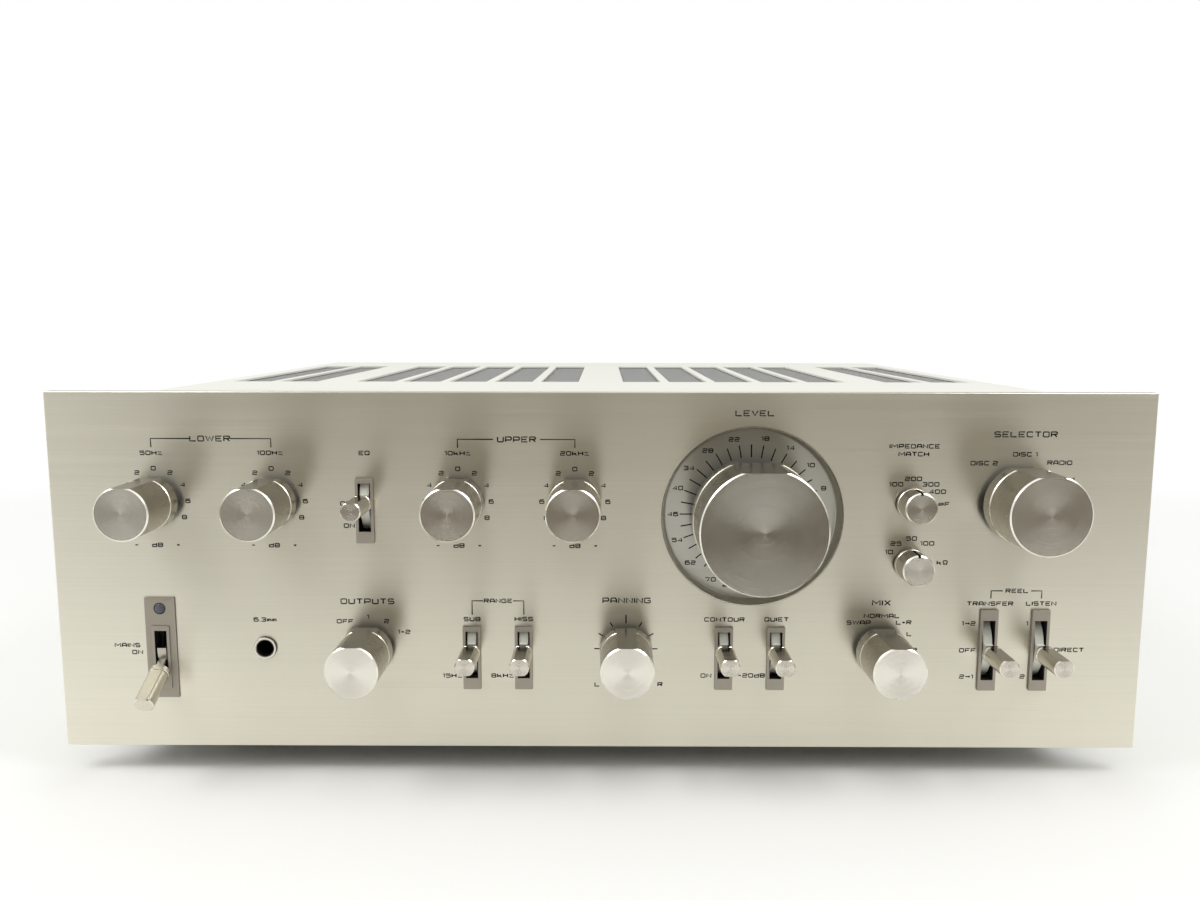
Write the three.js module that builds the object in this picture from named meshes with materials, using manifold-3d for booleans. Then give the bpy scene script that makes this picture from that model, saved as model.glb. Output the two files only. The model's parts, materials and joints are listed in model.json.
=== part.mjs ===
// A full-size stereo amplifier of the nineteen seventies, in millimetres, +Z up.
// The origin is the centre of its footprint, on the surface that it stands on.
// Pieces are placed from the lower middle of the faceplate's front face: x to the right,
// y backwards into the case and z upwards.
import * as THREE from 'three';
import { mergeVertices } from 'three/addons/utils/BufferGeometryUtils.js';
import Module from 'manifold-3d';

const wasm = await Module();
wasm.setup();

// Clearances
const gap = 0.3;
const plateSeat = 0.1;
const overrun = 1;

// Faceplate
const faceWidth = 420;
const faceHeight = 139.8;
const faceThick = 5;
const studRadius = 4;
const studColumnShares = [-0.93, 0, 0.93];
const studRowShares = [0.07, 0.93];

// Case
const caseInset = 15;
const caseDepth = 342;
const sheet = 1.5;
const coverSheet = 1;
const coverDrop = 3.5;
const coverBend = 3;
const coverSkirtRise = 6;
const panRise = 4;
const panWallHeight = 45;
const subSpace = 2.5;

// Vents in the cover
const ventWidth = 18;
const ventPitch = 23;
const ventLength = 163;
const ventSetback = 118;
const ventMiddleGap = 23;
const ventGroupGap = 15.5;
const ventInnerCount = 5;
const ventOuterCount = 2;
const meshThick = 0.8;
const meshMargin = 6;

// Feet
const footHeight = 14.2;
const footTopRadius = 22;
const footBottomRadius = 19;
const footPadRadius = 15;
const footPadHeight = 3;
const footColumnShare = 0.76;
const footFrontInset = 45;
const footRearInset = 42;

// Places on the faceplate, as shares of its half width and of its height
const columnShares = {
  bassLow: -0.809,
  bassHigh: -0.595,
  tone: -0.427,
  trebleLow: -0.257,
  trebleHigh: -0.045,
  volume: 0.278,
  load: 0.566,
  source: 0.762,
  power: -0.811,
  phones: -0.619,
  speakers: -0.428,
  lowFilter: -0.236,
  highFilter: -0.14,
  balance: 0.049,
  loudness: 0.23,
  muting: 0.326,
  mode: 0.519,
  tapeCopy: 0.717,
  tapeMonitor: 0.812,
};
const rowShares = {
  upper: 0.701,
  lower: 0.286,
  volume: 0.659,
  loadUpper: 0.699,
  loadLower: 0.531,
};

// Volume dial, a shallow dish sunk in the faceplate
const dialRadius = 34.9;
const dialFloorRadius = 33.4;
const dialDepth = 6;
const dialLip = 0.4;
const dialFlange = 3.6;

// Knobs
const knobRadius = 9.9;
const knobReach = 27.5;
const sourceRadius = 14.8;
const volumeRadius = 23.1;
const volumeReach = 30;
const loadRadius = 6;
const loadReach = 12.5;
const knobLift = 3.2;
const loadLift = 1.4;
const skirtLength = 6.2;
const loadSkirtLength = 2;
const skirtStepShare = 0.022;
const knobChamfer = 0.5;
const flatShare = 0.93;
const loadGroove = 1;

// Shafts and the bushes that they turn in
const shaftRadius = 3;
const shaftDepth = 15;
const bushRadius = 4.5;
const bushInset = 0.5;
const loadShaftRadius = 1.6;
const loadShaftDepth = 11;
const loadBushRadius = 3.2;

// Bodies of the rotary controls
const potRadius = 8.5;
const potLength = 17;
const volumeCanRadius = 15;
const volumeCanLength = 32;
const sourceCanRadius = 16;
const sourceCanLength = 36;
const speakerCanRadius = 14;
const speakerCanLength = 24;
const modeCanRadius = 13;
const modeCanLength = 30;
const balanceCanRadius = 12;
const balanceCanLength = 16;
const loadCanRadius = 6.5;
const loadCanLength = 13.5;
const boardThick = 1.6;
const boardMargin = 12;

// Lever switches
const leverPivot = 14;
const leverReach = 22;
const leverThrowDegrees = 27;
const drumRadius = 14.8;
const drumWidth = 3.4;
const drumTopAngle = 27;
const drumBottomAngle = 50;
const tapeDrumAngle = 58;
const hubHalf = 3;
const pinRadius = 1.2;
const pinReach = 1.7;
const neckWidth = 3.2;
const neckHeight = 5.2;
const batRootRadius = 3.2;
const batRadius = 3.9;
const batShoulder = 1.2;
const batFlatShare = 0.88;
const batChamfer = 0.4;
const tailReach = 11;
const tailHeight = 2.4;
const tailWidth = 2;
const cheekThick = 1;
const cheekHeight = 18;
const switchFlangeThick = 1.5;
const switchFlangeReach = 3;
const switchBlockStart = 24;
const switchBlockLength = 20;
const switchBlockHeight = 22;
const tailSlotHeight = 15;

// Bezels round the levers
const bezelThick = 1;
const bezelCorner = 0.3;
const bezelWidth = 6.9;
const bezelAbove = 8.9;
const bezelBelow = 16.2;
const tapeBezelHeight = 32.3;
const slotWidth = 4.7;
const slotAbove = 7;
const slotBelow = 11.7;
const tapeSlotHeight = 23.8;
const windowMargin = 0.5;
const powerBezelWidth = 11.8;
const powerBezelAbove = 20.2;
const powerBezelBelow = 20;
const powerFrameRise = 0.5;

// Pilot lamp and headphone socket
const lensRadius = 2;
const lensRise = 0.8;
const lensLength = 4;
const lensHeight = 15.8;
const jackBore = 3.3;
const jackBoreDepth = 30;
const jackRingRadius = 4.5;
const jackRingRise = 1;
const jackBarrelRadius = 4.1;
const jackBodyRadius = 8;
const jackBodyLength = 26;

// Power supply and amplifier
const transformerWidth = 104;
const transformerDepth = 88;
const transformerHeight = 96;
const transformerSetback = 62;
const transformerFoot = 14;
const transformerFootThick = 3;
const coilWall = 9;
const capacitorRadius = 19;
const capacitorHeight = 84;
const capacitorSetback = 178;
const capacitorSpread = 27;
const capacitorTerminal = 4;
const sinkLength = 150;
const sinkHeight = 92;
const sinkBase = 6;
const sinkFin = 26;
const sinkFinThick = 2;
const sinkFinCount = 9;
const sinkSetback = 152;
const sinkInset = 52;
const boardWidth = 150;
const boardDepth = 112;
const boardSetback = 214;
const boardLift = 12;
const boardPostRadius = 3.5;
const boardPostInset = 8;
const relaySide = 22;
const relayHeight = 30;

// Rear panel
const socketCount = 8;
const socketPitch = 19;
const socketRowGap = 20;
const socketRadius = 4.2;
const socketReach = 9;
const socketColumnShare = 0.84;
const socketRowShare = 0.66;
const terminalCount = 4;
const terminalPitch = 18;
const terminalRadius = 5;
const terminalReach = 14;
const terminalBlockHeight = 46;
const terminalRowGap = 24;
const terminalColumnShare = -0.2;
const terminalRowShare = 0.6;
const glandRadius = 8;
const glandReach = 13;
const glandBore = 3.4;
const glandHeadThick = 3;
const glandNeckRadius = 6;
const glandColumnShare = -0.8;
const glandRowShare = 0.24;

// Facets on turned pieces
const fineSideCount = 40;
const turnedSideCount = 24;
const smallSideCount = 16;
const pinSideCount = 12;
const socketSideCount = 8;
const bendSideCount = 3;

// Places that follow from the sizes
const caseWidth = faceWidth - 2 * caseInset;
const panelLift = footHeight - panRise;
const subFront = faceThick + subSpace;
const subBack = subFront + sheet;
const innards = subBack + gap;
const caseFront = faceThick + gap;
const rearFace = faceThick + caseDepth;
const rearInside = rearFace - sheet;
const coverTop = faceHeight - coverDrop;
const coverUnderside = coverTop - coverSheet;
const panWidth = caseWidth - 2 * (coverSheet + gap);
const panelWidth = panWidth - 2 * (sheet + gap);
const panFloor = panRise + sheet;
const floorSeat = panFloor + gap;
const faceSetback = (volumeReach - (rearFace + terminalReach)) / 2;

const columns = {};
for (const name of Object.keys(columnShares)) {
  columns[name] = (columnShares[name] * faceWidth) / 2;
}
const rows = {};
for (const name of Object.keys(rowShares)) {
  rows[name] = rowShares[name] * faceHeight;
}

const rotaries = [
  { name: 'bass_low_knob', x: columns.bassLow, z: rows.upper, kind: 'tone' },
  { name: 'bass_high_knob', x: columns.bassHigh, z: rows.upper, kind: 'tone' },
  { name: 'treble_low_knob', x: columns.trebleLow, z: rows.upper, kind: 'tone' },
  { name: 'treble_high_knob', x: columns.trebleHigh, z: rows.upper, kind: 'tone' },
  { name: 'speakers_knob', x: columns.speakers, z: rows.lower, kind: 'tone' },
  { name: 'balance_knob', x: columns.balance, z: rows.lower, kind: 'tone' },
  { name: 'mode_knob', x: columns.mode, z: rows.lower, kind: 'tone' },
  { name: 'source_knob', x: columns.source, z: rows.upper, kind: 'source' },
  { name: 'volume_knob', x: columns.volume, z: rows.volume, kind: 'volume' },
  { name: 'load_upper_knob', x: columns.load, z: rows.loadUpper, kind: 'load' },
  { name: 'load_lower_knob', x: columns.load, z: rows.loadLower, kind: 'load' },
];

const levers = [
  { name: 'power', x: columns.power, z: rows.lower, tilt: leverThrowDegrees },
  { name: 'tone', x: columns.tone, z: rows.upper, tilt: 0 },
  { name: 'low_filter', x: columns.lowFilter, z: rows.lower, tilt: 0 },
  { name: 'high_filter', x: columns.highFilter, z: rows.lower, tilt: 0 },
  { name: 'loudness', x: columns.loudness, z: rows.lower, tilt: 0 },
  { name: 'muting', x: columns.muting, z: rows.lower, tilt: 0 },
  { name: 'tape_copy', x: columns.tapeCopy, z: rows.lower, tilt: 0, threeWay: true },
  { name: 'tape_monitor', x: columns.tapeMonitor, z: rows.lower, tilt: 0, threeWay: true },
];

// Solids, joins and cuts
function toSolid(geometry) {
  const bare = geometry.clone();
  bare.deleteAttribute('normal');
  bare.deleteAttribute('uv');
  const merged = mergeVertices(bare, 1e-4);
  return new wasm.Manifold(new wasm.Mesh({
    numProp: 3,
    vertProperties: new Float32Array(merged.attributes.position.array),
    triVerts: new Uint32Array(merged.index.array),
  }));
}

function toGeometry(solid) {
  const mesh = solid.getMesh();
  const geometry = new THREE.BufferGeometry();
  geometry.setAttribute('position', new THREE.BufferAttribute(mesh.vertProperties, 3));
  geometry.setIndex(new THREE.BufferAttribute(mesh.triVerts, 1));
  geometry.computeVertexNormals();
  return geometry;
}

function join(...solids) {
  return solids.reduce((whole, piece) => whole.add(piece));
}

function block(x0, x1, y0, y1, z0, z1) {
  const geometry = new THREE.BoxGeometry(x1 - x0, y1 - y0, z1 - z0);
  geometry.translate((x0 + x1) / 2, (y0 + y1) / 2, (z0 + z1) / 2);
  return toSolid(geometry);
}

// A shape drawn in x and z, drawn out along y from y0 to y1
function drawnBack(shape, y0, y1) {
  const geometry = new THREE.ExtrudeGeometry(shape, {
    depth: y1 - y0,
    bevelEnabled: false,
    curveSegments: bendSideCount,
  });
  geometry.rotateX(Math.PI / 2);
  geometry.translate(0, y1, 0);
  return toSolid(geometry);
}

// A shape drawn in x and y, drawn up along z from z0 to z1
function drawnUp(shape, z0, z1) {
  const geometry = new THREE.ExtrudeGeometry(shape, { depth: z1 - z0, bevelEnabled: false });
  geometry.translate(0, 0, z0);
  return toSolid(geometry);
}

// A profile of radius and y, turned about the line through x and z
function turned(points, x, z, sides) {
  const profile = points.map(([radius, y]) => new THREE.Vector2(radius, y));
  const geometry = new THREE.LatheGeometry(profile, sides);
  const solid = toSolid(geometry);
  const upright = solid.volume() < 0 ? toSolid(new THREE.LatheGeometry(profile.reverse(), sides)) : solid;
  return upright.translate([x, 0, z]);
}

function rodBack(radius, y0, y1, x, z, sides) {
  return turned([[0, y1], [radius, y1], [radius, y0], [0, y0]], x, z, sides);
}

// A profile of radius and height, turned about the upright line through x and y
function turnedUp(points, x, y, sides) {
  return turned(points, 0, 0, sides).rotate([90, 0, 0]).translate([x, y, 0]);
}

function roundedRectangle(x0, x1, y0, y1, radius) {
  const shape = new THREE.Shape();
  shape.moveTo(x0 + radius, y0);
  shape.lineTo(x1 - radius, y0);
  shape.absarc(x1 - radius, y0 + radius, radius, -Math.PI / 2, 0, false);
  shape.lineTo(x1, y1 - radius);
  shape.absarc(x1 - radius, y1 - radius, radius, 0, Math.PI / 2, false);
  shape.lineTo(x0 + radius, y1);
  shape.absarc(x0 + radius, y1 - radius, radius, Math.PI / 2, Math.PI, false);
  shape.lineTo(x0, y0 + radius);
  shape.absarc(x0 + radius, y0 + radius, radius, Math.PI, 1.5 * Math.PI, false);
  return shape;
}

// A round hole through whatever stands between y0 and y1
function roundCut(x, z, radius, y0, y1, sides) {
  return rodBack(radius, y0 - overrun, y1 + overrun, x, z, sides);
}

const amplifier = new THREE.Group();
const fromFaceplate = new THREE.Group();
fromFaceplate.position.set(0, faceSetback, panelLift);
amplifier.add(fromFaceplate);

function place(name, solid, color, roughness, metalness) {
  const material = new THREE.MeshStandardMaterial({ color, roughness, metalness });
  const mesh = new THREE.Mesh(toGeometry(solid), material);
  mesh.name = name;
  fromFaceplate.add(mesh);
}

const silver = 0xcfc8b8;
const zinc = 0xa5a7a6;
const black = 0x1c1c1d;

// Rotary controls: how far a knob stands out, how thick it is and what it turns in
const knobSizes = {
  tone: {
    radius: knobRadius, reach: knobReach, lift: knobLift, skirt: skirtLength,
    shaft: shaftRadius, depth: shaftDepth, bush: bushRadius, sides: turnedSideCount,
  },
  source: {
    radius: sourceRadius, reach: knobReach, lift: knobLift, skirt: skirtLength,
    shaft: shaftRadius, depth: shaftDepth, bush: bushRadius, sides: turnedSideCount,
  },
  volume: {
    radius: volumeRadius, reach: volumeReach, lift: knobLift, skirt: skirtLength,
    shaft: shaftRadius, depth: shaftDepth, bush: bushRadius, sides: fineSideCount,
  },
  load: {
    radius: loadRadius, reach: loadReach, lift: loadLift, skirt: loadSkirtLength,
    shaft: loadShaftRadius, depth: loadShaftDepth, bush: loadBushRadius, sides: smallSideCount,
  },
};

// A turned knob with its skirt and the shaft that it is fixed to
function knob(rotary) {
  const size = knobSizes[rotary.kind];
  const step = size.radius * skirtStepShare;
  const shaftEnd = innards + size.depth - gap;
  const whole = turned([
    [0, -size.reach],
    [size.radius - knobChamfer, -size.reach],
    [size.radius, -size.reach + knobChamfer],
    [size.radius, -size.lift - size.skirt],
    [size.radius + step, -size.lift - size.skirt + step],
    [size.radius + step, -size.lift],
    [size.shaft, -size.lift],
    [size.shaft, shaftEnd],
    [0, shaftEnd],
  ], rotary.x, rotary.z, size.sides);
  if (rotary.kind === 'load') {
    const top = rotary.z + size.radius;
    return whole.subtract(block(
      rotary.x - loadGroove / 2, rotary.x + loadGroove / 2,
      -size.reach - overrun, -size.lift - size.skirt,
      top - loadGroove, top + overrun,
    ));
  }
  const flat = rotary.z + flatShare * size.radius;
  const side = size.radius + overrun;
  return whole.subtract(block(
    rotary.x - side, rotary.x + side,
    -size.reach - overrun, -size.lift + overrun,
    flat, rotary.z + side,
  ));
}

// The fixed half of a rotary control: a can behind the sub-panel and a bored bush
function rotaryBody(x, z, kind, canRadius, canLength, bushFront) {
  const size = knobSizes[kind];
  const bore = size.shaft + gap;
  const boreEnd = innards + size.depth;
  return turned([
    [0, boreEnd],
    [bore, boreEnd],
    [bore, bushFront],
    [size.bush, bushFront],
    [size.bush, innards],
    [canRadius, innards],
    [canRadius, innards + canLength],
    [0, innards + canLength],
  ], x, z, pinSideCount);
}

function slotTop(lever) {
  return lever.z + (lever.threeWay ? tapeSlotHeight / 2 : slotAbove);
}

function slotBottom(lever) {
  return lever.z - (lever.threeWay ? tapeSlotHeight / 2 : slotBelow);
}

// Behind the faceplate the drum needs room past the slot, on each side that it turns towards
function drumRoomTop(lever) {
  return lever.threeWay ? lever.z + drumRadius + windowMargin : slotTop(lever);
}

function drumRoomBottom(lever) {
  return lever.z - drumRadius - windowMargin;
}

// The bat starts far enough out for its sides to clear the bezel when the lever is thrown down
const throwRadians = THREE.MathUtils.degToRad(leverThrowDegrees);
const batSideDrop = Math.sqrt(batRootRadius ** 2 - (slotWidth / 2) ** 2);
const batStart = (leverPivot + bezelThick + plateSeat + gap
  + batSideDrop * Math.sin(throwRadians)) / Math.cos(throwRadians);

// A lever: a drum that turns on its pins behind the slot, a neck and a flatted bat
function leverSolid(lever) {
  const top = THREE.MathUtils.degToRad(lever.threeWay ? tapeDrumAngle : drumTopAngle);
  const bottom = THREE.MathUtils.degToRad(lever.threeWay ? tapeDrumAngle : drumBottomAngle);
  const tip = leverPivot + leverReach;
  const sector = new THREE.Shape();
  sector.moveTo(0, 0);
  sector.absarc(0, 0, drumRadius, Math.PI - top, Math.PI + bottom, false);
  sector.lineTo(0, 0);
  const drumGeometry = new THREE.ExtrudeGeometry(sector, {
    depth: drumWidth,
    bevelEnabled: false,
    curveSegments: pinSideCount / 2,
  });
  drumGeometry.translate(0, 0, -drumWidth / 2);
  drumGeometry.rotateY(Math.PI / 2);
  drumGeometry.rotateX(Math.PI / 2);
  const drum = toSolid(drumGeometry);
  const pins = turned([
    [0, -drumWidth / 2 - pinReach],
    [pinRadius, -drumWidth / 2 - pinReach],
    [pinRadius, drumWidth / 2 + pinReach],
    [0, drumWidth / 2 + pinReach],
  ], 0, 0, pinSideCount).rotate([0, 0, 90]);
  const hub = block(-drumWidth / 2, drumWidth / 2, -hubHalf, hubHalf, -hubHalf, hubHalf);
  const neck = block(-neckWidth / 2, neckWidth / 2, -batStart - overrun, -drumRadius / 2,
    -neckHeight / 2, neckHeight / 2);
  const tail = block(-tailWidth / 2, tailWidth / 2, 0, tailReach, -tailHeight / 2, tailHeight / 2);
  const bat = turned([
    [0, -batStart],
    [batRootRadius, -batStart],
    [batRadius, -batStart - batShoulder],
    [batRadius, -tip + batChamfer],
    [batRadius - batChamfer, -tip],
    [0, -tip],
  ], 0, 0, smallSideCount);
  const flats = block(-batRadius - overrun, batRadius + overrun, -tip - overrun, 0,
    -batRadius * batFlatShare, batRadius * batFlatShare);
  return join(drum, hub, pins, neck, tail, bat.intersect(flats))
    .rotate([lever.tilt, 0, 0])
    .translate([lever.x, leverPivot, lever.z]);
}

// Cheeks that carry a lever's pins, on a flange behind the sub-panel, and the switch itself
function leverSwitch(lever, blockLength) {
  const inside = drumWidth / 2 + gap;
  const outside = inside + cheekThick;
  const half = slotWidth / 2 + switchFlangeReach;
  const pinHole = turned([
    [0, -outside - overrun], [pinRadius + gap, -outside - overrun],
    [pinRadius + gap, outside + overrun], [0, outside + overrun],
  ], 0, 0, pinSideCount).rotate([0, 0, 90]).translate([lever.x, leverPivot, lever.z]);
  const cheeks = [-1, 1].map((side) => block(
    Math.min(side * inside, side * outside) + lever.x, Math.max(side * inside, side * outside) + lever.x,
    innards, switchBlockStart + overrun,
    lever.z - cheekHeight / 2, lever.z + cheekHeight / 2,
  ).subtract(pinHole));
  const flangeTop = drumRoomTop(lever) + switchFlangeReach;
  const flangeBottom = drumRoomBottom(lever) - switchFlangeReach;
  const flange = block(lever.x - half, lever.x + half, innards, innards + switchFlangeThick,
    flangeBottom, flangeTop)
    .subtract(block(lever.x - inside, lever.x + inside, innards - overrun,
      innards + switchFlangeThick + overrun, drumRoomBottom(lever), drumRoomTop(lever)));
  const body = block(lever.x - half, lever.x + half, switchBlockStart, switchBlockStart + blockLength,
    lever.z - switchBlockHeight / 2, lever.z + switchBlockHeight / 2)
    .subtract(block(lever.x - tailWidth / 2 - gap, lever.x + tailWidth / 2 + gap,
      switchBlockStart - overrun, leverPivot + tailReach + gap,
      lever.z - tailSlotHeight / 2, lever.z + tailSlotHeight / 2));
  return join(flange, ...cheeks, body);
}

function leverNamed(name) {
  return levers.find((lever) => lever.name === name);
}

// An upright slot for a lever, with a margin all round
function slotCut(lever, margin, y0, y1) {
  return block(lever.x - slotWidth / 2 - margin, lever.x + slotWidth / 2 + margin,
    y0 - overrun, y1 + overrun, slotBottom(lever) - margin, slotTop(lever) + margin);
}

// The holes that the faceplate and the sub-panel share
function controlCuts(y0, y1) {
  const bushes = rotaries.map((rotary) => roundCut(
    rotary.x, rotary.z, knobSizes[rotary.kind].bush + gap, y0, y1, pinSideCount,
  ));
  const slots = levers.map((lever) => slotCut(lever, windowMargin, y0, y1));
  const phones = roundCut(columns.phones, rows.lower, jackBarrelRadius + gap, y0, y1, pinSideCount);
  return join(...bushes, ...slots, phones);
}

// Front panel pieces
function frontPanel() {
  const plate = block(-faceWidth / 2, faceWidth / 2, 0, faceThick, 0, faceHeight);
  const studs = studRowShares.flatMap((row) => studColumnShares.map((column) => rodBack(
    studRadius, faceThick - overrun, subFront - gap,
    (column * panelWidth) / 2, row * faceHeight, socketSideCount,
  )));
  return join(plate, ...studs)
    .subtract(controlCuts(0, faceThick))
    .subtract(roundCut(columns.volume, rows.volume, dialRadius, 0, faceThick, fineSideCount))
    .subtract(roundCut(columns.power, rows.lower + lensHeight, lensRadius + gap, 0, faceThick,
      pinSideCount));
}

function subPanel() {
  const drumRooms = levers.map((lever) => block(
    lever.x - slotWidth / 2 - windowMargin, lever.x + slotWidth / 2 + windowMargin,
    subFront - overrun, subBack + overrun, drumRoomBottom(lever), drumRoomTop(lever),
  ));
  return block(-panelWidth / 2, panelWidth / 2, subFront, subBack, floorSeat, coverUnderside - gap)
    .subtract(controlCuts(subFront, subBack))
    .subtract(join(...drumRooms));
}

function volumeDial() {
  const rim = dialRadius - gap;
  return turned([
    [bushRadius + gap, dialDepth],
    [dialFloorRadius, dialDepth],
    [rim - dialLip, plateSeat],
    [rim, plateSeat],
    [rim, caseFront],
    [rim + dialFlange, caseFront],
    [rim + dialFlange, subFront - gap],
    [bushRadius + gap, subFront - gap],
    [bushRadius + gap, dialDepth],
  ], columns.volume, rows.volume, fineSideCount);
}

function bezel(lever) {
  const above = lever.threeWay ? tapeBezelHeight / 2 : bezelAbove;
  const below = lever.threeWay ? tapeBezelHeight / 2 : bezelBelow;
  const front = -bezelThick - plateSeat;
  const slot = slotCut(lever, 0, front, 0);
  const frameShape = roundedRectangle(lever.x - bezelWidth / 2, lever.x + bezelWidth / 2,
    lever.z - below, lever.z + above, bezelCorner);
  const frame = drawnBack(frameShape, front, -plateSeat);
  if (lever.name !== 'power') {
    return frame.subtract(slot);
  }
  const plateShape = roundedRectangle(lever.x - powerBezelWidth / 2, lever.x + powerBezelWidth / 2,
    lever.z - powerBezelBelow, lever.z + powerBezelAbove, bezelCorner);
  return join(frame, drawnBack(plateShape, front + powerFrameRise, -plateSeat))
    .subtract(slot)
    .subtract(roundCut(lever.x, lever.z + lensHeight, lensRadius + gap, front, 0, pinSideCount));
}

function lampLens() {
  const crown = -bezelThick - plateSeat - lensRise + powerFrameRise;
  const shoulder = -bezelThick - plateSeat + powerFrameRise;
  return turned([
    [0, crown],
    [lensRadius / 2, crown + lensRise / 4],
    [lensRadius, shoulder],
    [lensRadius, lensLength],
    [0, lensLength],
  ], columns.power, rows.lower + lensHeight, pinSideCount);
}

function phonesJack() {
  return turned([
    [0, jackBoreDepth],
    [jackBore, jackBoreDepth],
    [jackBore, -jackRingRise],
    [jackRingRadius, -jackRingRise],
    [jackRingRadius, -plateSeat],
    [jackBarrelRadius, -plateSeat],
    [jackBarrelRadius, innards],
    [jackBodyRadius, innards],
    [jackBodyRadius, innards + jackBodyLength],
    [0, innards + jackBodyLength],
  ], columns.phones, rows.lower, smallSideCount);
}

place('front_panel', frontPanel(), silver, 0.38, 0.9);
place('sub_panel', subPanel(), zinc, 0.5, 0.8);
place('volume_dial', volumeDial(), 0xb9b6ad, 0.4, 0.85);
place('lamp_lens', lampLens(), 0x6c7583, 0.25, 0);
place('phones_jack', phonesJack(), 0xb4b2ac, 0.35, 0.8);
for (const rotary of rotaries) {
  place(rotary.name, knob(rotary), silver, 0.3, 0.95);
}
for (const lever of levers) {
  place(`${lever.name}_lever`, leverSolid(lever), silver, 0.3, 0.95);
  place(`${lever.name}_bezel`, bezel(lever), 0xa49c8f, 0.5, 0.3);
}

// Controls behind the sub-panel
const tonePots = [columns.bassLow, columns.bassHigh, columns.trebleLow, columns.trebleHigh];

function toneControls() {
  const bodies = tonePots.map((x) => rotaryBody(
    x, rows.upper, 'tone', potRadius, potLength + gap, bushInset,
  ));
  const boardFront = innards + potLength;
  const board = block(columns.bassLow - boardMargin, columns.trebleHigh + boardMargin,
    boardFront, boardFront + boardThick, rows.upper - boardMargin, rows.upper + boardMargin);
  const defeat = leverSwitch(leverNamed('tone'), boardFront + gap - switchBlockStart);
  return join(...bodies, board, defeat);
}

function loadSwitches() {
  const boardFront = innards + loadCanLength;
  const bodies = [rows.loadUpper, rows.loadLower].map((z) => rotaryBody(
    columns.load, z, 'load', loadCanRadius, loadCanLength + gap, bushInset,
  ));
  const board = block(columns.load - loadCanRadius, columns.load + loadCanRadius,
    boardFront, boardFront + boardThick,
    rows.loadLower - boardMargin, rows.loadUpper + boardMargin);
  return join(...bodies, board);
}

// Two lever switches side by side on one board
function switchPair(left, right) {
  const end = switchBlockStart + switchBlockLength;
  const board = block(leverNamed(left).x - boardMargin, leverNamed(right).x + boardMargin,
    end - overrun, end + boardThick, rows.lower - boardMargin, rows.lower + boardMargin);
  return join(leverSwitch(leverNamed(left), switchBlockLength),
    leverSwitch(leverNamed(right), switchBlockLength), board);
}

place('tone_controls', toneControls(), 0x8d7b4a, 0.6, 0.2);
place('volume_control', rotaryBody(columns.volume, rows.volume, 'volume',
  volumeCanRadius, volumeCanLength, dialDepth - bushInset), zinc, 0.4, 0.8);
place('source_switch', rotaryBody(columns.source, rows.upper, 'source',
  sourceCanRadius, sourceCanLength, bushInset), zinc, 0.4, 0.8);
place('load_switches', loadSwitches(), zinc, 0.4, 0.8);
place('speakers_switch', rotaryBody(columns.speakers, rows.lower, 'tone',
  speakerCanRadius, speakerCanLength, bushInset), zinc, 0.4, 0.8);
place('balance_control', rotaryBody(columns.balance, rows.lower, 'tone',
  balanceCanRadius, balanceCanLength, bushInset), zinc, 0.4, 0.8);
place('mode_switch', rotaryBody(columns.mode, rows.lower, 'tone',
  modeCanRadius, modeCanLength, bushInset), zinc, 0.4, 0.8);
place('power_switch', leverSwitch(leverNamed('power'), switchBlockLength), black, 0.5, 0.1);
place('filter_switches', switchPair('low_filter', 'high_filter'), black, 0.5, 0.1);
place('loudness_switches', switchPair('loudness', 'muting'), black, 0.5, 0.1);
place('tape_switches', switchPair('tape_copy', 'tape_monitor'), black, 0.5, 0.1);

// Case
function chassisPan() {
  const half = panWidth / 2;
  const floor = block(-half, half, caseFront, rearFace, panRise, panFloor);
  const walls = [-1, 1].map((side) => block(
    Math.min(side * half, side * (half - sheet)), Math.max(side * half, side * (half - sheet)),
    caseFront, rearFace, panRise, panRise + panWallHeight,
  ));
  return join(floor, ...walls);
}

function topCover() {
  const half = caseWidth / 2;
  const inner = half - coverSheet;
  const innerBend = coverBend - coverSheet;
  const shape = new THREE.Shape();
  shape.moveTo(half, coverSkirtRise);
  shape.lineTo(half, coverTop - coverBend);
  shape.absarc(half - coverBend, coverTop - coverBend, coverBend, 0, Math.PI / 2, false);
  shape.lineTo(-half + coverBend, coverTop);
  shape.absarc(-half + coverBend, coverTop - coverBend, coverBend, Math.PI / 2, Math.PI, false);
  shape.lineTo(-half, coverSkirtRise);
  shape.lineTo(-inner, coverSkirtRise);
  shape.lineTo(-inner, coverTop - coverBend);
  shape.absarc(-half + coverBend, coverTop - coverBend, innerBend, Math.PI, Math.PI / 2, true);
  shape.lineTo(half - coverBend, coverUnderside);
  shape.absarc(half - coverBend, coverTop - coverBend, innerBend, Math.PI / 2, 0, true);
  shape.lineTo(inner, coverSkirtRise);
  shape.closePath();
  const shell = drawnBack(shape, caseFront, rearFace);
  const cuts = [];
  for (let index = 0; index < ventInnerCount + ventOuterCount; index += 1) {
    const outer = index >= ventInnerCount ? ventGroupGap : 0;
    const near = ventMiddleGap / 2 + index * ventPitch + outer;
    for (const side of [-1, 1]) {
      const edges = [side * near, side * (near + ventWidth)];
      cuts.push(block(Math.min(...edges), Math.max(...edges),
        faceThick + ventSetback, faceThick + ventSetback + ventLength,
        coverUnderside - overrun, coverTop + overrun));
    }
  }
  return shell.subtract(join(...cuts));
}

function ventMesh() {
  const reach = ventMiddleGap / 2 + (ventInnerCount + ventOuterCount) * ventPitch + ventGroupGap;
  return block(-reach, reach, faceThick + ventSetback - meshMargin,
    faceThick + ventSetback + ventLength + meshMargin,
    coverUnderside - gap - meshThick, coverUnderside - gap);
}

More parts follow.
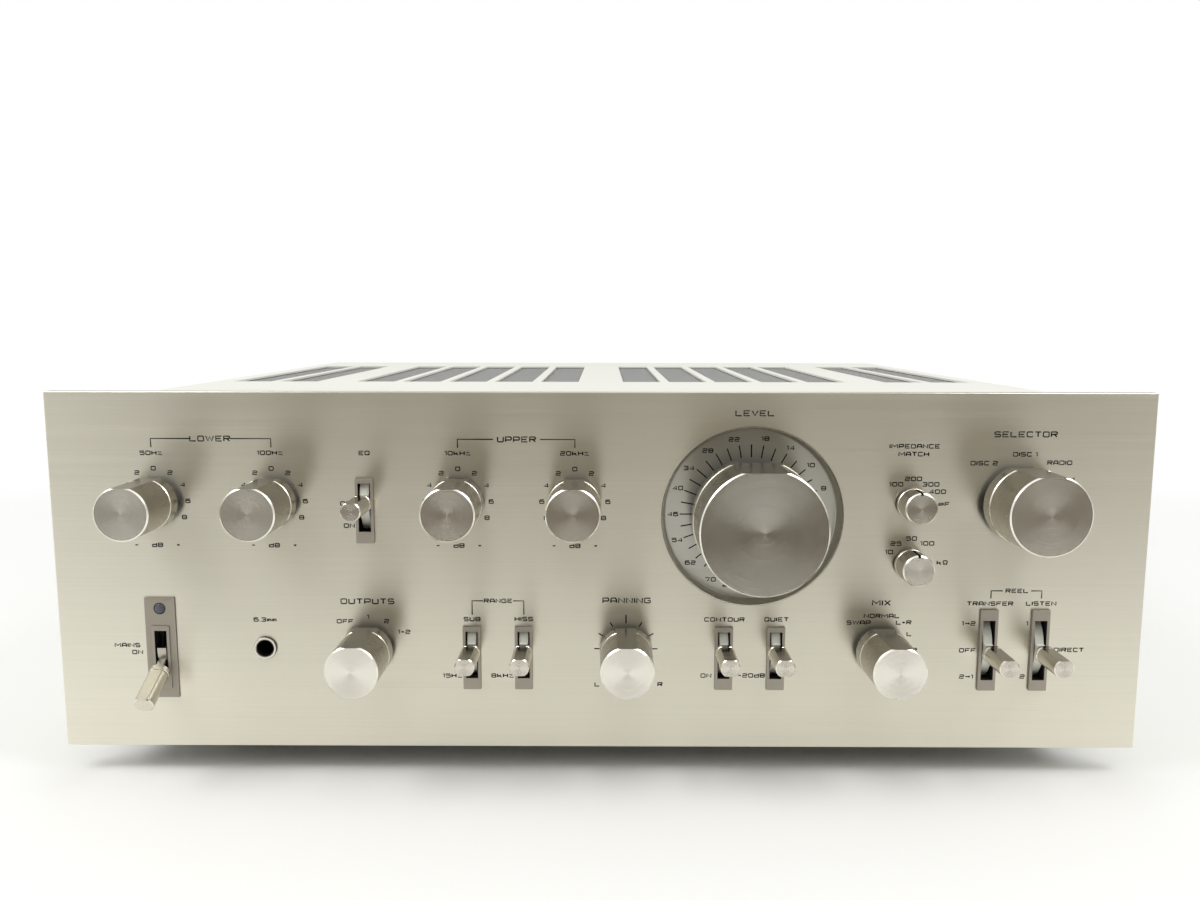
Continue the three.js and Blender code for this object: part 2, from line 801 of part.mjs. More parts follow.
function foot(x, y) {
  const top = panRise - gap;
  const bottom = panRise - footHeight;
  return turnedUp([
    [0, bottom],
    [footPadRadius, bottom],
    [footPadRadius, bottom + footPadHeight / 2],
    [footBottomRadius, bottom + footPadHeight],
    [footTopRadius, top],
    [0, top],
  ], x, y, smallSideCount);
}

place('chassis_pan', chassisPan(), zinc, 0.5, 0.8);
place('top_cover', topCover(), 0xd9d6cc, 0.5, 0.3);
place('vent_mesh', ventMesh(), black, 0.7, 0.4);
const footX = (footColumnShare * caseWidth) / 2;
const frontFootY = faceThick + footFrontInset;
const rearFootY = rearFace - footRearInset;
place('front_left_foot', foot(-footX, frontFootY), black, 0.7, 0);
place('front_right_foot', foot(footX, frontFootY), black, 0.7, 0);
place('rear_left_foot', foot(-footX, rearFootY), black, 0.7, 0);
place('rear_right_foot', foot(footX, rearFootY), black, 0.7, 0);

// Power supply and amplifier
function transformer() {
  const half = transformerWidth / 2;
  const y0 = faceThick + transformerSetback;
  const y1 = y0 + transformerDepth;
  const core = block(-half, half, y0 + coilWall, y1 - coilWall, floorSeat, floorSeat + transformerHeight);
  const coil = block(-half + coilWall, half - coilWall, y0, y1,
    floorSeat + coilWall, floorSeat + transformerHeight - coilWall);
  const feet = block(-half - transformerFoot, half + transformerFoot, y0 + coilWall, y1 - coilWall,
    floorSeat, floorSeat + transformerFootThick);
  return join(core, coil, feet);
}

function capacitor(side) {
  const top = floorSeat + capacitorHeight;
  const bolts = [-1, 1].map((end) => turnedUp([
    [0, top - overrun],
    [capacitorTerminal, top - overrun],
    [capacitorTerminal, top + capacitorTerminal],
    [0, top + capacitorTerminal],
  ], side * capacitorSpread, faceThick + capacitorSetback + (end * capacitorRadius) / 2, socketSideCount));
  const can = turnedUp([
    [0, floorSeat],
    [capacitorRadius, floorSeat],
    [capacitorRadius, top],
    [0, top],
  ], side * capacitorSpread, faceThick + capacitorSetback, turnedSideCount);
  return join(can, ...bolts);
}

// A drawn heat sink: fins that stand out towards the case's side from an upright base
function heatSink(side) {
  const baseOuter = panWidth / 2 - sinkInset;
  const baseInner = baseOuter - sinkBase;
  const y0 = faceThick + sinkSetback;
  const pitch = (sinkLength - sinkFinThick) / (sinkFinCount - 1);
  const shape = new THREE.Shape();
  shape.moveTo(side * baseInner, y0);
  for (let fin = 0; fin < sinkFinCount; fin += 1) {
    const start = y0 + fin * pitch;
    shape.lineTo(side * baseOuter, start);
    shape.lineTo(side * (baseOuter + sinkFin), start);
    shape.lineTo(side * (baseOuter + sinkFin), start + sinkFinThick);
    shape.lineTo(side * baseOuter, start + sinkFinThick);
  }
  shape.lineTo(side * baseInner, y0 + sinkLength);
  shape.closePath();
  return drawnUp(shape, floorSeat, floorSeat + sinkHeight);
}

function amplifierBoard() {
  const half = boardWidth / 2;
  const y0 = faceThick + boardSetback;
  const y1 = y0 + boardDepth;
  const z0 = floorSeat + boardLift;
  const board = block(-half, half, y0, y1, z0, z0 + boardThick);
  const posts = [];
  for (const x of [-half + boardPostInset, half - boardPostInset]) {
    for (const y of [y0 + boardPostInset, y1 - boardPostInset]) {
      posts.push(turnedUp([
        [0, floorSeat], [boardPostRadius, floorSeat],
        [boardPostRadius, z0 + boardThick / 2], [0, z0 + boardThick / 2],
      ], x, y, socketSideCount));
    }
  }
  const relays = [-1, 1].map((side) => block(
    side * relaySide - relaySide / 2 + (side * relaySide) / 4,
    side * relaySide + relaySide / 2 + (side * relaySide) / 4,
    y0 + relaySide, y0 + 2 * relaySide, z0, z0 + relayHeight,
  ));
  return join(board, ...posts, ...relays);
}

place('transformer', transformer(), 0x2a2a2c, 0.45, 0.5);
place('left_capacitor', capacitor(-1), 0x2d3c5a, 0.35, 0.1);
place('right_capacitor', capacitor(1), 0x2d3c5a, 0.35, 0.1);
place('left_heat_sink', heatSink(-1), black, 0.55, 0.6);
place('right_heat_sink', heatSink(1), black, 0.55, 0.6);
place('amplifier_board', amplifierBoard(), 0x7d6a3c, 0.6, 0.1);

// Rear panel and what passes through it
const socketX = (socketColumnShare * panelWidth) / 2;
const socketZ = socketRowShare * faceHeight;
const terminalX = (terminalColumnShare * panelWidth) / 2;
const terminalZ = terminalRowShare * faceHeight;
const glandX = (glandColumnShare * panelWidth) / 2;
const glandZ = glandRowShare * faceHeight;

function socketPlaces() {
  const places = [];
  for (let index = 0; index < socketCount; index += 1) {
    for (const row of [0, 1]) {
      places.push([socketX - index * socketPitch, socketZ - row * socketRowGap]);
    }
  }
  return places;
}

function terminalPlaces() {
  const places = [];
  for (let index = 0; index < terminalCount; index += 1) {
    for (const row of [0, 1]) {
      places.push([
        terminalX - index * terminalPitch,
        terminalZ + (row - 1 / 2) * terminalRowGap,
      ]);
    }
  }
  return places;
}

function rearPanel() {
  const sockets = socketPlaces().map(([x, z]) => roundCut(
    x, z, socketRadius + gap, rearInside, rearFace, socketSideCount,
  ));
  const terminals = terminalPlaces().map(([x, z]) => roundCut(
    x, z, terminalRadius + gap, rearInside, rearFace, socketSideCount,
  ));
  const gland = roundCut(glandX, glandZ, glandNeckRadius + gap, rearInside, rearFace, smallSideCount);
  return block(-panelWidth / 2, panelWidth / 2, rearInside, rearFace, floorSeat, coverUnderside - gap)
    .subtract(join(...sockets, ...terminals, gland));
}

// Pin sockets in two rows on one strip
function inputSockets() {
  const places = socketPlaces();
  const strip = block(
    socketX - (socketCount - 1 / 2) * socketPitch, socketX + socketPitch / 2,
    rearInside - gap - boardThick, rearInside - gap,
    socketZ - socketRowGap - socketPitch / 2, socketZ + socketPitch / 2,
  );
  const sockets = places.map(([x, z]) => turned([
    [0, rearFace + socketReach],
    [socketRadius, rearFace + socketReach],
    [socketRadius, rearInside - gap - boardThick / 2],
    [0, rearInside - gap - boardThick / 2],
  ], x, z, socketSideCount));
  return join(strip, ...sockets);
}

// Screw posts for the loudspeaker wires on one moulded strip
function speakerTerminals() {
  const places = terminalPlaces();
  const half = terminalBlockHeight / 2;
  const strip = block(
    terminalX - (terminalCount - 1 / 2) * terminalPitch, terminalX + terminalPitch / 2,
    rearInside - gap - 2 * boardThick, rearInside - gap,
    terminalZ - half, terminalZ + half,
  );
  const posts = places.map(([x, z]) => turned([
    [0, rearFace + terminalReach],
    [terminalRadius - knobChamfer, rearFace + terminalReach],
    [terminalRadius, rearFace + terminalReach - knobChamfer],
    [terminalRadius, rearInside - gap - boardThick],
    [0, rearInside - gap - boardThick],
  ], x, z, socketSideCount));
  return join(strip, ...posts);
}

// The gland that the mains cord leaves by, bored for it
function cordGland() {
  return turned([
    [0, rearFace],
    [glandBore, rearFace],
    [glandBore, rearFace + glandReach],
    [glandNeckRadius - knobChamfer, rearFace + glandReach],
    [glandRadius, rearFace + glandHeadThick],
    [glandRadius, rearFace + gap],
    [glandNeckRadius, rearFace + gap],
    [glandNeckRadius, rearInside - glandHeadThick],
    [0, rearInside - glandHeadThick],
  ], glandX, glandZ, smallSideCount);
}

place('rear_panel', rearPanel(), 0x3a3a3c, 0.5, 0.4);
place('input_sockets', inputSockets(), 0xb9b6ad, 0.35, 0.6);
place('speaker_terminals', speakerTerminals(), black, 0.5, 0.1);
place('cord_gland', cordGland(), black, 0.6, 0);

export default amplifier;
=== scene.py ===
"""A full-size stereo amplifier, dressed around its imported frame."""
import json
import math

import bmesh
import bpy
from bpy.props import FloatProperty, FloatVectorProperty, PointerProperty
from mathutils import Matrix, Vector


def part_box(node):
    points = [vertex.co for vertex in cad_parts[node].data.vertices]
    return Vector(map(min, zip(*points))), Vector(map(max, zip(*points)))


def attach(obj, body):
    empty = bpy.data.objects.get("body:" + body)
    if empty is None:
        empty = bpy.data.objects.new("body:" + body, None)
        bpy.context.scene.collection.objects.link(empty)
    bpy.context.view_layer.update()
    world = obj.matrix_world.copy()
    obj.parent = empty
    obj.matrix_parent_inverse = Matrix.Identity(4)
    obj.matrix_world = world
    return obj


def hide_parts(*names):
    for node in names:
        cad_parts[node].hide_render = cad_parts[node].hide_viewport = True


bl_info = {
    "name": "Stereo Amplifier",
    "version": (1, 0, 0),
    "blender": (4, 5, 0),
    "location": "3D View > Sidebar > Amplifier",
    "description": "Dresses the frame of a stereo amplifier with its panel, controls and case",
    "category": "Object",
}

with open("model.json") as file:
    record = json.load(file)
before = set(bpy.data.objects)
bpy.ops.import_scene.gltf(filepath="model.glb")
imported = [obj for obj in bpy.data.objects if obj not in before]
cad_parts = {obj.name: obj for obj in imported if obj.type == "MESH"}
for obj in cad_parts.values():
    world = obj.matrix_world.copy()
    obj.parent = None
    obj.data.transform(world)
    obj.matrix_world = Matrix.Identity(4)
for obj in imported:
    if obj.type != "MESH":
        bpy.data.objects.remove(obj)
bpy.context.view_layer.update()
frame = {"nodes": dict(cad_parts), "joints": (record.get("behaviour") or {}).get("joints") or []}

MM = 0.001

# Places are measured from the lower middle of the faceplate's front face: x to the right,
# y back into the case and z upwards.
PLATE_LOW, PLATE_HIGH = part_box("front_panel")
ORIGIN = Vector((0, PLATE_LOW.y, PLATE_LOW.z))
PLATE_HALF = PLATE_HIGH.x
PLATE_HEIGHT = PLATE_HIGH.z - PLATE_LOW.z

MAIN_BODY = "amplifier"
TONE_KNOBS = ("bass_low_knob", "bass_high_knob", "treble_low_knob", "treble_high_knob")
LOWER_KNOBS = ("speakers_knob", "balance_knob", "mode_knob")
LOAD_KNOBS = ("load_upper_knob", "load_lower_knob")
BIG_KNOBS = ("volume_knob", "source_knob")
TAPE_LEVERS = ("tape_copy", "tape_monitor")
SHORT_LEVERS = ("tone", "low_filter", "high_filter", "loudness", "muting")
LEVERS = ("power", *SHORT_LEVERS, *TAPE_LEVERS)

# How finely round things are drawn, and how close points are before they are one
FINE_SIDES = 128
ROUND_SIDES = 64
SMALL_SIDES = 32
SCREW_SIDES = 24
FLUTE_SIDES = 12
CORNER_STEPS = 5
BEND_STEPS = 8
EDGE_STEPS = 3
WELD = 0.001 * MM
CUT_WELD = WELD / 10
FLAT_ENOUGH = 0.3
OVERRUN = 1 * MM
SHARP_ANGLE = math.radians(20)
QUARTER_TURN = 90
HALF_TURN = 180
FULL_TURN = 360

# Faceplate
PLATE_THICK = 5 * MM
STUD_RADIUS = 4 * MM
DIAL_OPENING = 34.9 * MM
DIAL_FLOOR_RADIUS = 33.4 * MM
DIAL_DEPTH = 6 * MM
DIAL_LIP = 0.4 * MM
PLATE_SEAT = 0.1 * MM
BUSH_HOLE = 4.8 * MM
LOAD_BUSH_HOLE = 3.5 * MM
JACK_HOLE = 4.4 * MM
LENS_HOLE = 2.3 * MM
WINDOW_MARGIN = 0.5 * MM

# Lever slots
SLOT_WIDTH = 4.7 * MM
SLOT_ABOVE = 7 * MM
SLOT_BELOW = 11.7 * MM
TAPE_SLOT_HALF = 11.9 * MM

# Case
COVER_SHEET = 1 * MM
COVER_BEND = 3 * MM
VENT_WIDTH = 18.8 * MM
VENT_PITCH = 23 * MM
VENT_START = 121.5 * MM
VENT_LENGTH = 166 * MM
VENT_MIDDLE_GAP = 22.2 * MM
VENT_GROUP_GAP = 15.5 * MM
VENT_INNER_COUNT = 5
VENT_OUTER_COUNT = 2
SIDE_SCREWS = (40 * MM, 180 * MM, 322 * MM)
SIDE_SCREW_RISE = 9 * MM
MESH_PITCH = 1.6 * MM
ROW_TO_PITCH_SHARE = 0.866
MESH_ROW = MESH_PITCH * ROW_TO_PITCH_SHARE


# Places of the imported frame


def box_of(node):
    """The lowest and highest corners of a node, from the faceplate's lower middle."""
    low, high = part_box(node)
    return low - ORIGIN, high - ORIGIN


def middle_of(node):
    low, high = box_of(node)
    return (low + high) / 2


def pivot_of(body):
    """A point on the line that a moving body turns about."""
    joint = next(row for row in frame["joints"] if row["child"] == body)
    return Vector(joint["pos_m"]) - ORIGIN


# Shapes


def painted(shape, finish):
    for face in shape.faces:
        face.material_index = finish
    return shape


def moved(shape, offset):
    bmesh.ops.translate(shape, vec=Vector(offset), verts=shape.verts)
    return shape


def turned(shape, degrees, axis):
    matrix = Matrix.Rotation(math.radians(degrees), 3, axis)
    bmesh.ops.rotate(shape, cent=(0, 0, 0), matrix=matrix, verts=shape.verts)
    return shape


def facing(shape, centre):
    """The shape with its line of depth through a middle on the faceplate."""
    return moved(shape, (centre.x, 0, centre.z))


def bevelled(shape, edges, offset, segments):
    bmesh.ops.bevel(
        shape, geom=edges, offset=offset, segments=segments,
        affect="EDGES", profile=0.5, material=-1,
    )
    return shape


def block(low, high, finish=0, edge=0, segments=2):
    """A block between two corners, with its edges rounded."""
    low, high = Vector(low), Vector(high)
    shape = bmesh.new()
    bmesh.ops.create_cube(shape, size=1)
    bmesh.ops.scale(shape, vec=high - low, verts=shape.verts)
    moved(shape, (low + high) / 2)
    if edge:
        bevelled(shape, shape.edges[:], edge, segments)
    return painted(shape, finish)


def spun(profile, finishes, sides=ROUND_SIDES):
    """A profile of radius and depth, turned about the line of depth, one finish a stretch."""
    if isinstance(finishes, int):
        finishes = [finishes] * (len(profile) - 1)
    shape = bmesh.new()
    for index, finish in enumerate(finishes):
        ends = [shape.verts.new((radius, depth, 0)) for radius, depth in profile[index:index + 2]]
        line = shape.edges.new(ends)
        bmesh.ops.spin(
            shape, geom=[*ends, line], cent=(0, 0, 0), axis=(0, 1, 0), dvec=(0, 0, 0),
            angle=math.tau, steps=sides, use_merge=True, use_duplicate=False,
        )
        for face in shape.faces:
            if not face.tag:
                face.material_index = finish
                face.tag = True
    bmesh.ops.remove_doubles(shape, verts=shape.verts, dist=WELD)
    bmesh.ops.recalc_face_normals(shape, faces=shape.faces)
    return shape


def rod(radius, front, back, finish=0, sides=ROUND_SIDES):
    return spun([(0, front), (radius, front), (radius, back), (0, back)], finish, sides)


def sliced(shape, point, outward, finish):
    """The shape without what lies beyond a plane, closed with a flat of its own finish."""
    geometry = shape.verts[:] + shape.edges[:] + shape.faces[:]
    cut = bmesh.ops.bisect_plane(
        shape, geom=geometry, dist=CUT_WELD, plane_co=Vector(point),
        plane_no=Vector(outward), clear_outer=True,
    )
    rims = [part for part in cut["geom_cut"] if isinstance(part, bmesh.types.BMEdge)]
    closed = bmesh.ops.edgeloop_fill(shape, edges=rims, mat_nr=finish)
    for face in closed["faces"]:
        face.material_index = finish
    bmesh.ops.recalc_face_normals(shape, faces=shape.faces)
    return shape


def as_mesh(name, shape):
    mesh = bpy.data.meshes.new(name)
    shape.to_mesh(mesh)
    shape.free()
    return mesh


def linked(name, data):
    """An object of some data, linked to the scene."""
    thing = bpy.data.objects.new(name, data)
    bpy.context.scene.collection.objects.link(thing)
    return thing


def merged(shapes):
    """One shape that holds all of these."""
    whole = bmesh.new()
    for shape in shapes:
        mesh = as_mesh("part", shape)
        whole.from_mesh(mesh)
        bpy.data.meshes.remove(mesh)
    return whole


FINISH_SLOTS = 6


def as_object(shape):
    mesh = as_mesh("working", shape)
    for _ in range(FINISH_SLOTS):
        mesh.materials.append(None)
    return linked("working", mesh)


def combined(shape, tools, operation):
    """The shape after a solid cut or union with each tool."""
    body = as_object(shape)
    others = [as_object(tool) for tool in tools]
    for other in others:
        change = body.modifiers.new("change", "BOOLEAN")
        change.operation = operation
        change.solver = "EXACT"
        change.material_mode = "INDEX"
        change.object = other
    result = bmesh.new()
    result.from_object(body, bpy.context.evaluated_depsgraph_get())
    for thing in [body, *others]:
        mesh = thing.data
        bpy.data.objects.remove(thing)
        bpy.data.meshes.remove(mesh)
    return result


def carved(shape, *tools):
    return combined(shape, tools, "DIFFERENCE")


def joined(shape, *tools):
    return combined(shape, tools, "UNION")


# Printed marks: each is a line of ink through its points, with its width

INK_THICK = 0.03 * MM
INK_LINE = 0.5 * MM
TITLE_LINE = 0.55 * MM
GLYPH_TALL = 8
GLYPH_WIDEN = 1.55
GLYPH_GAP = 2.5
GLYPH_SPACE = 3.5
# The strokes of each sign, on a grid six wide and eight high: each point is a digit across
# and a digit up.
GLYPHS = {
    "0": "10 50 61 67 58 18 07 01 10", "1": "17 38 30", "2": "07 18 58 67 65 54 14 03 00 60",
    "3": "07 18 58 67 65 54 63 61 50 10 01|24 54", "4": "50 58 02 62",
    "5": "68 08 05 55 64 61 50 10 01", "6": "68 18 07 01 10 50 61 64 55 05", "7": "08 68 30",
    "8": "14 05 07 18 58 67 65 54 14 03 01 10 50 61 63 54",
    "A": "00 05 18 58 65 60|03 63", "B": "00 08 58 67 65 54 04|54 63 61 50 00",
    "C": "67 58 18 07 01 10 50 61", "D": "00 08 58 67 61 50 00", "E": "68 08 00 60|04 54",
    "F": "68 08 00|04 54", "G": "67 58 18 07 01 10 50 61 64 34", "H": "00 08|60 68|04 64",
    "I": "30 38", "L": "08 00 60", "M": "00 08 43 88 80", "N": "00 08 60 68",
    "O": "10 50 61 67 58 18 07 01 10", "P": "00 08 58 67 64 53 03",
    "Q": "10 50 61 67 58 18 07 01 10|42 60", "R": "00 08 58 67 65 54 04|34 60",
    "S": "67 58 18 07 05 14 54 63 61 50 10 01", "T": "08 68|38 30", "U": "08 01 10 50 61 68",
    "V": "08 30 68", "W": "08 20 47 60 88", "X": "00 68|08 60",
    "d": "68 60 10 01 04 15 65", "k": "08 00|02 55|23 60", "m": "00 05 45 54 50|25 20",
    "p": "00 06 56 65 63 52 02", "z": "06 56 00 60", "Ω": "00 20 21 04 07 18 58 67 64 41 40 60",
    "+": "14 54|32 36", "-": "14 54", "→": "04 64|52 64 56", ".": "30 31",
    "∞": "34 16 05 03 12 34 56 65 63 52 34",
}


def lettering(words, x, z, height, line=INK_LINE):
    """The strokes of some words, with their middle at x and z and capitals of a height."""
    unit = (height - line) / GLYPH_TALL
    strokes = []
    reach = 0
    for sign in words:
        if sign == " ":
            reach += GLYPH_SPACE
            continue
        paths = [
            [(int(across), int(up)) for across, up in path.split()]
            for path in GLYPHS[sign].split("|")
        ]
        near = min(across for path in paths for across, _ in path)
        far = max(across for path in paths for across, _ in path)
        strokes += [[(reach + across - near, up) for across, up in path] for path in paths]
        reach += far - near + GLYPH_GAP
    middle = (reach - GLYPH_GAP) / 2
    return [
        (
            [
                (x + (across - middle) * unit * GLYPH_WIDEN, z + (up - GLYPH_TALL / 2) * unit)
                for across, up in path
            ],
            line,
        )
        for path in strokes
    ]


def printed(marks, surface=0):
    """Lines of ink, as flattened rods that lie on a surface."""
    curve = bpy.data.curves.new("marks", "CURVE")
    curve.dimensions = "3D"
    curve.bevel_depth = INK_LINE / 2
    curve.bevel_resolution = 1
    curve.use_fill_caps = True
    for points, width in marks:
        line = curve.splines.new("POLY")
        line.use_cyclic_u = points[0] == points[-1]
        if line.use_cyclic_u:
            points = points[:-1]
        line.points.add(len(points) - 1)
        for point, (x, z) in zip(line.points, points):
            point.co = (x, 0, z, 1)
            point.radius = width / INK_LINE
    thing = linked("marks", curve)
    mesh = bpy.data.meshes.new_from_object(
        thing.evaluated_get(bpy.context.evaluated_depsgraph_get())
    )
    shape = bmesh.new()
    shape.from_mesh(mesh)
    bpy.data.objects.remove(thing)
    bpy.data.curves.remove(curve)
    bpy.data.meshes.remove(mesh)
    bmesh.ops.scale(shape, vec=(1, INK_THICK / INK_LINE, 1), verts=shape.verts)
    return moved(shape, (0, surface, 0))


# Shader sums and finishes


class Value:
    """A number that changes over a surface, so that shader maths reads as plain sums."""

    def __init__(self, finish, socket):
        self.finish = finish
        self.socket = socket

    def _sum(self, operation, first, second=0):
        node = self.finish.node("ShaderNodeMath", {"operation": operation}, {0: first, 1: second})
        return Value(self.finish, node.outputs[0])

    def __add__(self, other):
        return self._sum("ADD", self, other)

    def __sub__(self, other):
        return self._sum("SUBTRACT", self, other)

    def __rsub__(self, other):
        return self._sum("SUBTRACT", other, self)

    def __mul__(self, other):
        return self._sum("MULTIPLY", self, other)

    def __truediv__(self, other):
        return self._sum("DIVIDE", self, other)

    def stepped(self):
        return self._sum("FLOOR", self)

    def distance(self):
        return self._sum("ABSOLUTE", self)

    def root(self):
        return self._sum("SQRT", self)

    __radd__ = __add__
    __rmul__ = __mul__


def weighted(values, shares):
    """Shader values added up, each times its share."""
    return sum(value * share for value, share in zip(values, shares))


def scaled(colour, share):
    return tuple(min(1, part * share) for part in colour)


class Finish:
    """A material whose nodes all come from one method."""

    def __init__(self, name, roughness, metallic=0, **constants):
        self.material = bpy.data.materials.new(name)
        self.material.use_nodes = True
        self.tree = self.material.node_tree
        self.tree.nodes.clear()
        self.shader = self.node(
            "ShaderNodeBsdfPrincipled", {},
            {"Roughness": roughness, "Metallic": metallic},
        )
        self.set(**constants)
        self.output = self.node("ShaderNodeOutputMaterial", {}, {"Surface": self.shader.outputs[0]})

    def node(self, kind, settings, values):
        node = self.tree.nodes.new(kind)
        for name, setting in settings.items():
            setattr(node, name, setting)
        for name, value in values.items():
            self.feed(node.inputs[name], value)
        return node

    def feed(self, socket, value):
        if isinstance(value, Value):
            value = value.socket
        if isinstance(value, bpy.types.NodeSocket):
            self.tree.links.new(value, socket)
        elif socket.type == "RGBA":
            socket.default_value = (*value, 1)
        else:
            socket.default_value = value

    def set(self, **values):
        for name, value in values.items():
            self.feed(self.shader.inputs[name.replace("_", " ")], value)
        return self

    def place(self):
        return self.node("ShaderNodeTexCoord", {}, {}).outputs["Object"]

    def parts(self, vector):
        split = self.node("ShaderNodeSeparateXYZ", {}, {0: vector})
        return [Value(self, socket) for socket in split.outputs]

    def noise(self, grain, detail=2, place=None):
        """Noise with so many features in a metre, along each axis or along all three."""
        stretch = grain if isinstance(grain, tuple) else (grain, grain, grain)
        mapping = self.node(
            "ShaderNodeMapping", {}, {"Vector": place or self.place(), "Scale": stretch},
        )
        texture = self.node(
            "ShaderNodeTexNoise", {},
            {"Vector": mapping.outputs[0], "Scale": 1, "Detail": detail},
        )
        return Value(self, texture.outputs[0])

    def mixed(self, share, first, second):
        node = self.node(
            "ShaderNodeMix", {"data_type": "RGBA"}, {0: share, 6: first, 7: second},
        )
        return node.outputs[2]

    def tinted(self, share, colour, shades):
        """A colour between a darker and a lighter shade of itself."""
        dark, light = shades
        return self.mixed(share, scaled(colour, dark), scaled(colour, light))

    def spread(self, value, low, high, to_low=0, to_high=1):
        """A value taken from one range to another, held at its ends."""
        node = self.node(
            "ShaderNodeMapRange", {},
            {"Value": value, "From Min": low, "From Max": high, "To Min": to_low, "To Max": to_high},
        )
        return Value(self, node.outputs[0])

    def bumped(self, height, depth):
        values = {"Height": height, "Strength": 1, "Distance": depth}
        return self.node("ShaderNodeBump", {}, values).outputs[0]

    def worn(self, colour, shades, marks, look, roughness, depth):
        """Tone, roughness and relief that all follow the same marks, each by its shares."""
        self.set(
            Base_Color=self.tinted(weighted(marks, look["tone_shares"]), colour, shades),
            Roughness=weighted(marks, look["rough_shares"]) + (roughness - look["smoother"]),
            Normal=self.bumped(weighted(marks, look["relief_shares"]), depth),
        )
        return self.material


# Brushed metal: the lines, broader lines, cloud and hairlines, in features to a metre
ACROSS_THE_LINES = 0.25
BRUSH_GRAIN = (14, 14, 5200)
BROAD_TIMES = 4
BROAD_GRAIN = tuple(part / BROAD_TIMES for part in BRUSH_GRAIN)
HAIRLINE_TIMES = 1.5
HAIRLINE_GRAIN = tuple(part / HAIRLINE_TIMES for part in BRUSH_GRAIN)
HAIRLINE_RANGE = (0.66, 0.76)
BRUSH_CLOUD = 7
BRUSH_SHADES = (0.93, 1.06)
BRUSH_DEPTH = 0.003 * MM
BRUSHED = {
    "tone_shares": (0.75, 0.2, 0.15, -0.12), "rough_shares": (0.08, 0, 0.04, 0.05),
    "smoother": 0.07, "relief_shares": (0.5, 1, 0, 0.4),
}


def brushed_finish(name, colour, settings):
    """Metal brushed in straight level lines, with a few stronger hairlines in it."""
    finish = Finish(
        name, settings.roughness, 1, Anisotropic=settings.brushing,
        Anisotropic_Rotation=ACROSS_THE_LINES,
    )
    marks = (
        finish.noise(BRUSH_GRAIN), finish.noise(BROAD_GRAIN), finish.noise(BRUSH_CLOUD, 3),
        finish.spread(finish.noise(HAIRLINE_GRAIN, 0), *HAIRLINE_RANGE),
    )
    return finish.worn(colour, BRUSH_SHADES, marks, BRUSHED, settings.roughness, BRUSH_DEPTH)


# Turned faces: how far the rings of each lean, and the share of them that lean inwards
LATHED = {"knob_face": (0.17, 0.56), "volume_face_painted_shade": (0.19, 0.66), "lever_face": (0.2, 0.5)}
RINGS_IN_A_METRE = 600000
BANDS_IN_A_METRE = 5200
LATHE_CLOUD = 160
LATHE_TONE_SHARES = (0.6, 0.4)
LATHE_SHADES = (0.96, 1.04)
LATHE_ROUGH_SHARE = 0.08
UPRIGHT = 0.5


def lathed_finish(name, colour, roughness):
    """A face turned on a lathe: each fine ring leans in or out a little."""
    tilt, inward = LATHED[name]
    finish = Finish(name, roughness, 1)
    place = finish.node("ShaderNodeUVMap", {"uv_map": TURNED_MAP}, {}).outputs[0]
    across, up, _ = finish.parts(place)
    radius = (across * across + up * up).root()
    ring = (radius * RINGS_IN_A_METRE).stepped()
    white = finish.node("ShaderNodeTexWhiteNoise", {"noise_dimensions": "1D"}, {"W": ring})
    lean = Value(finish, white.outputs[0])
    push = (lean - inward) * tilt / (radius + WELD)
    leaning = finish.node(
        "ShaderNodeCombineXYZ", {}, {0: across * push + UPRIGHT, 1: up * push + UPRIGHT, 2: 1.0},
    )
    normal = finish.node(
        "ShaderNodeNormalMap", {"uv_map": TURNED_MAP}, {"Color": leaning.outputs[0], "Strength": 1},
    )
    cloud = finish.noise(LATHE_CLOUD, 3)
    outwards = finish.node("ShaderNodeCombineXYZ", {}, {0: radius * BANDS_IN_A_METRE})
    band = finish.noise(1, 2, outwards.outputs[0])
    finish.set(
        Base_Color=finish.tinted(weighted((band, cloud), LATHE_TONE_SHARES), colour, LATHE_SHADES),
        Roughness=cloud * LATHE_ROUGH_SHARE + (roughness - LATHE_ROUGH_SHARE / 2),
        Normal=normal.outputs[0],
    )
    return finish.material


# Satin metal: fine marks and wear, in features to a metre, and how rough each satin finish is
ROUND_GRAIN = (900, 2600, 900)
BAT_GRAIN = (2600, 200, 2600)
DRUM_GRAIN = (2600, 300, 300)
WEAR_GRAIN = 120
SATIN_SHADES = (0.9, 1.07)
SATIN_DEPTH = 0.003 * MM
SATIN = {
    "tone_shares": (0.6, 0.4), "rough_shares": (0, 0.12), "smoother": 0.06,
    "relief_shares": (1, 0),
}
SATIN_ROUGHNESS = {
    "dial_wall": 0.42, "dial_rim": 0.2, "knob_rim_painted_highlight": 0.28, "knob_painted_shade": 0.5, "knob_flat_painted_shade": 0.25,
    "lever_drum": 0.35, "lever_side": 0.22, "lever_rim_painted_highlight": 0.2, "lever_flat_painted_shade": 0.16,
    "power_drum": 0.3, "socket_ring": 0.3, "socket_rim": 0.25, "case_screw": 0.3,
    "socket_metal": 0.28, "rear_screw": 0.3,
}


def satin_finish(name, colour, grain=ROUND_GRAIN, metallic=1, roughness=None):
    """Satin metal with fine marks round it and a little handling wear."""
    roughness = roughness or SATIN_ROUGHNESS[name]
    finish = Finish(name, roughness, metallic)
    marks = finish.noise(grain), finish.noise(WEAR_GRAIN, 4)
    return finish.worn(colour, SATIN_SHADES, marks, SATIN, roughness, SATIN_DEPTH)


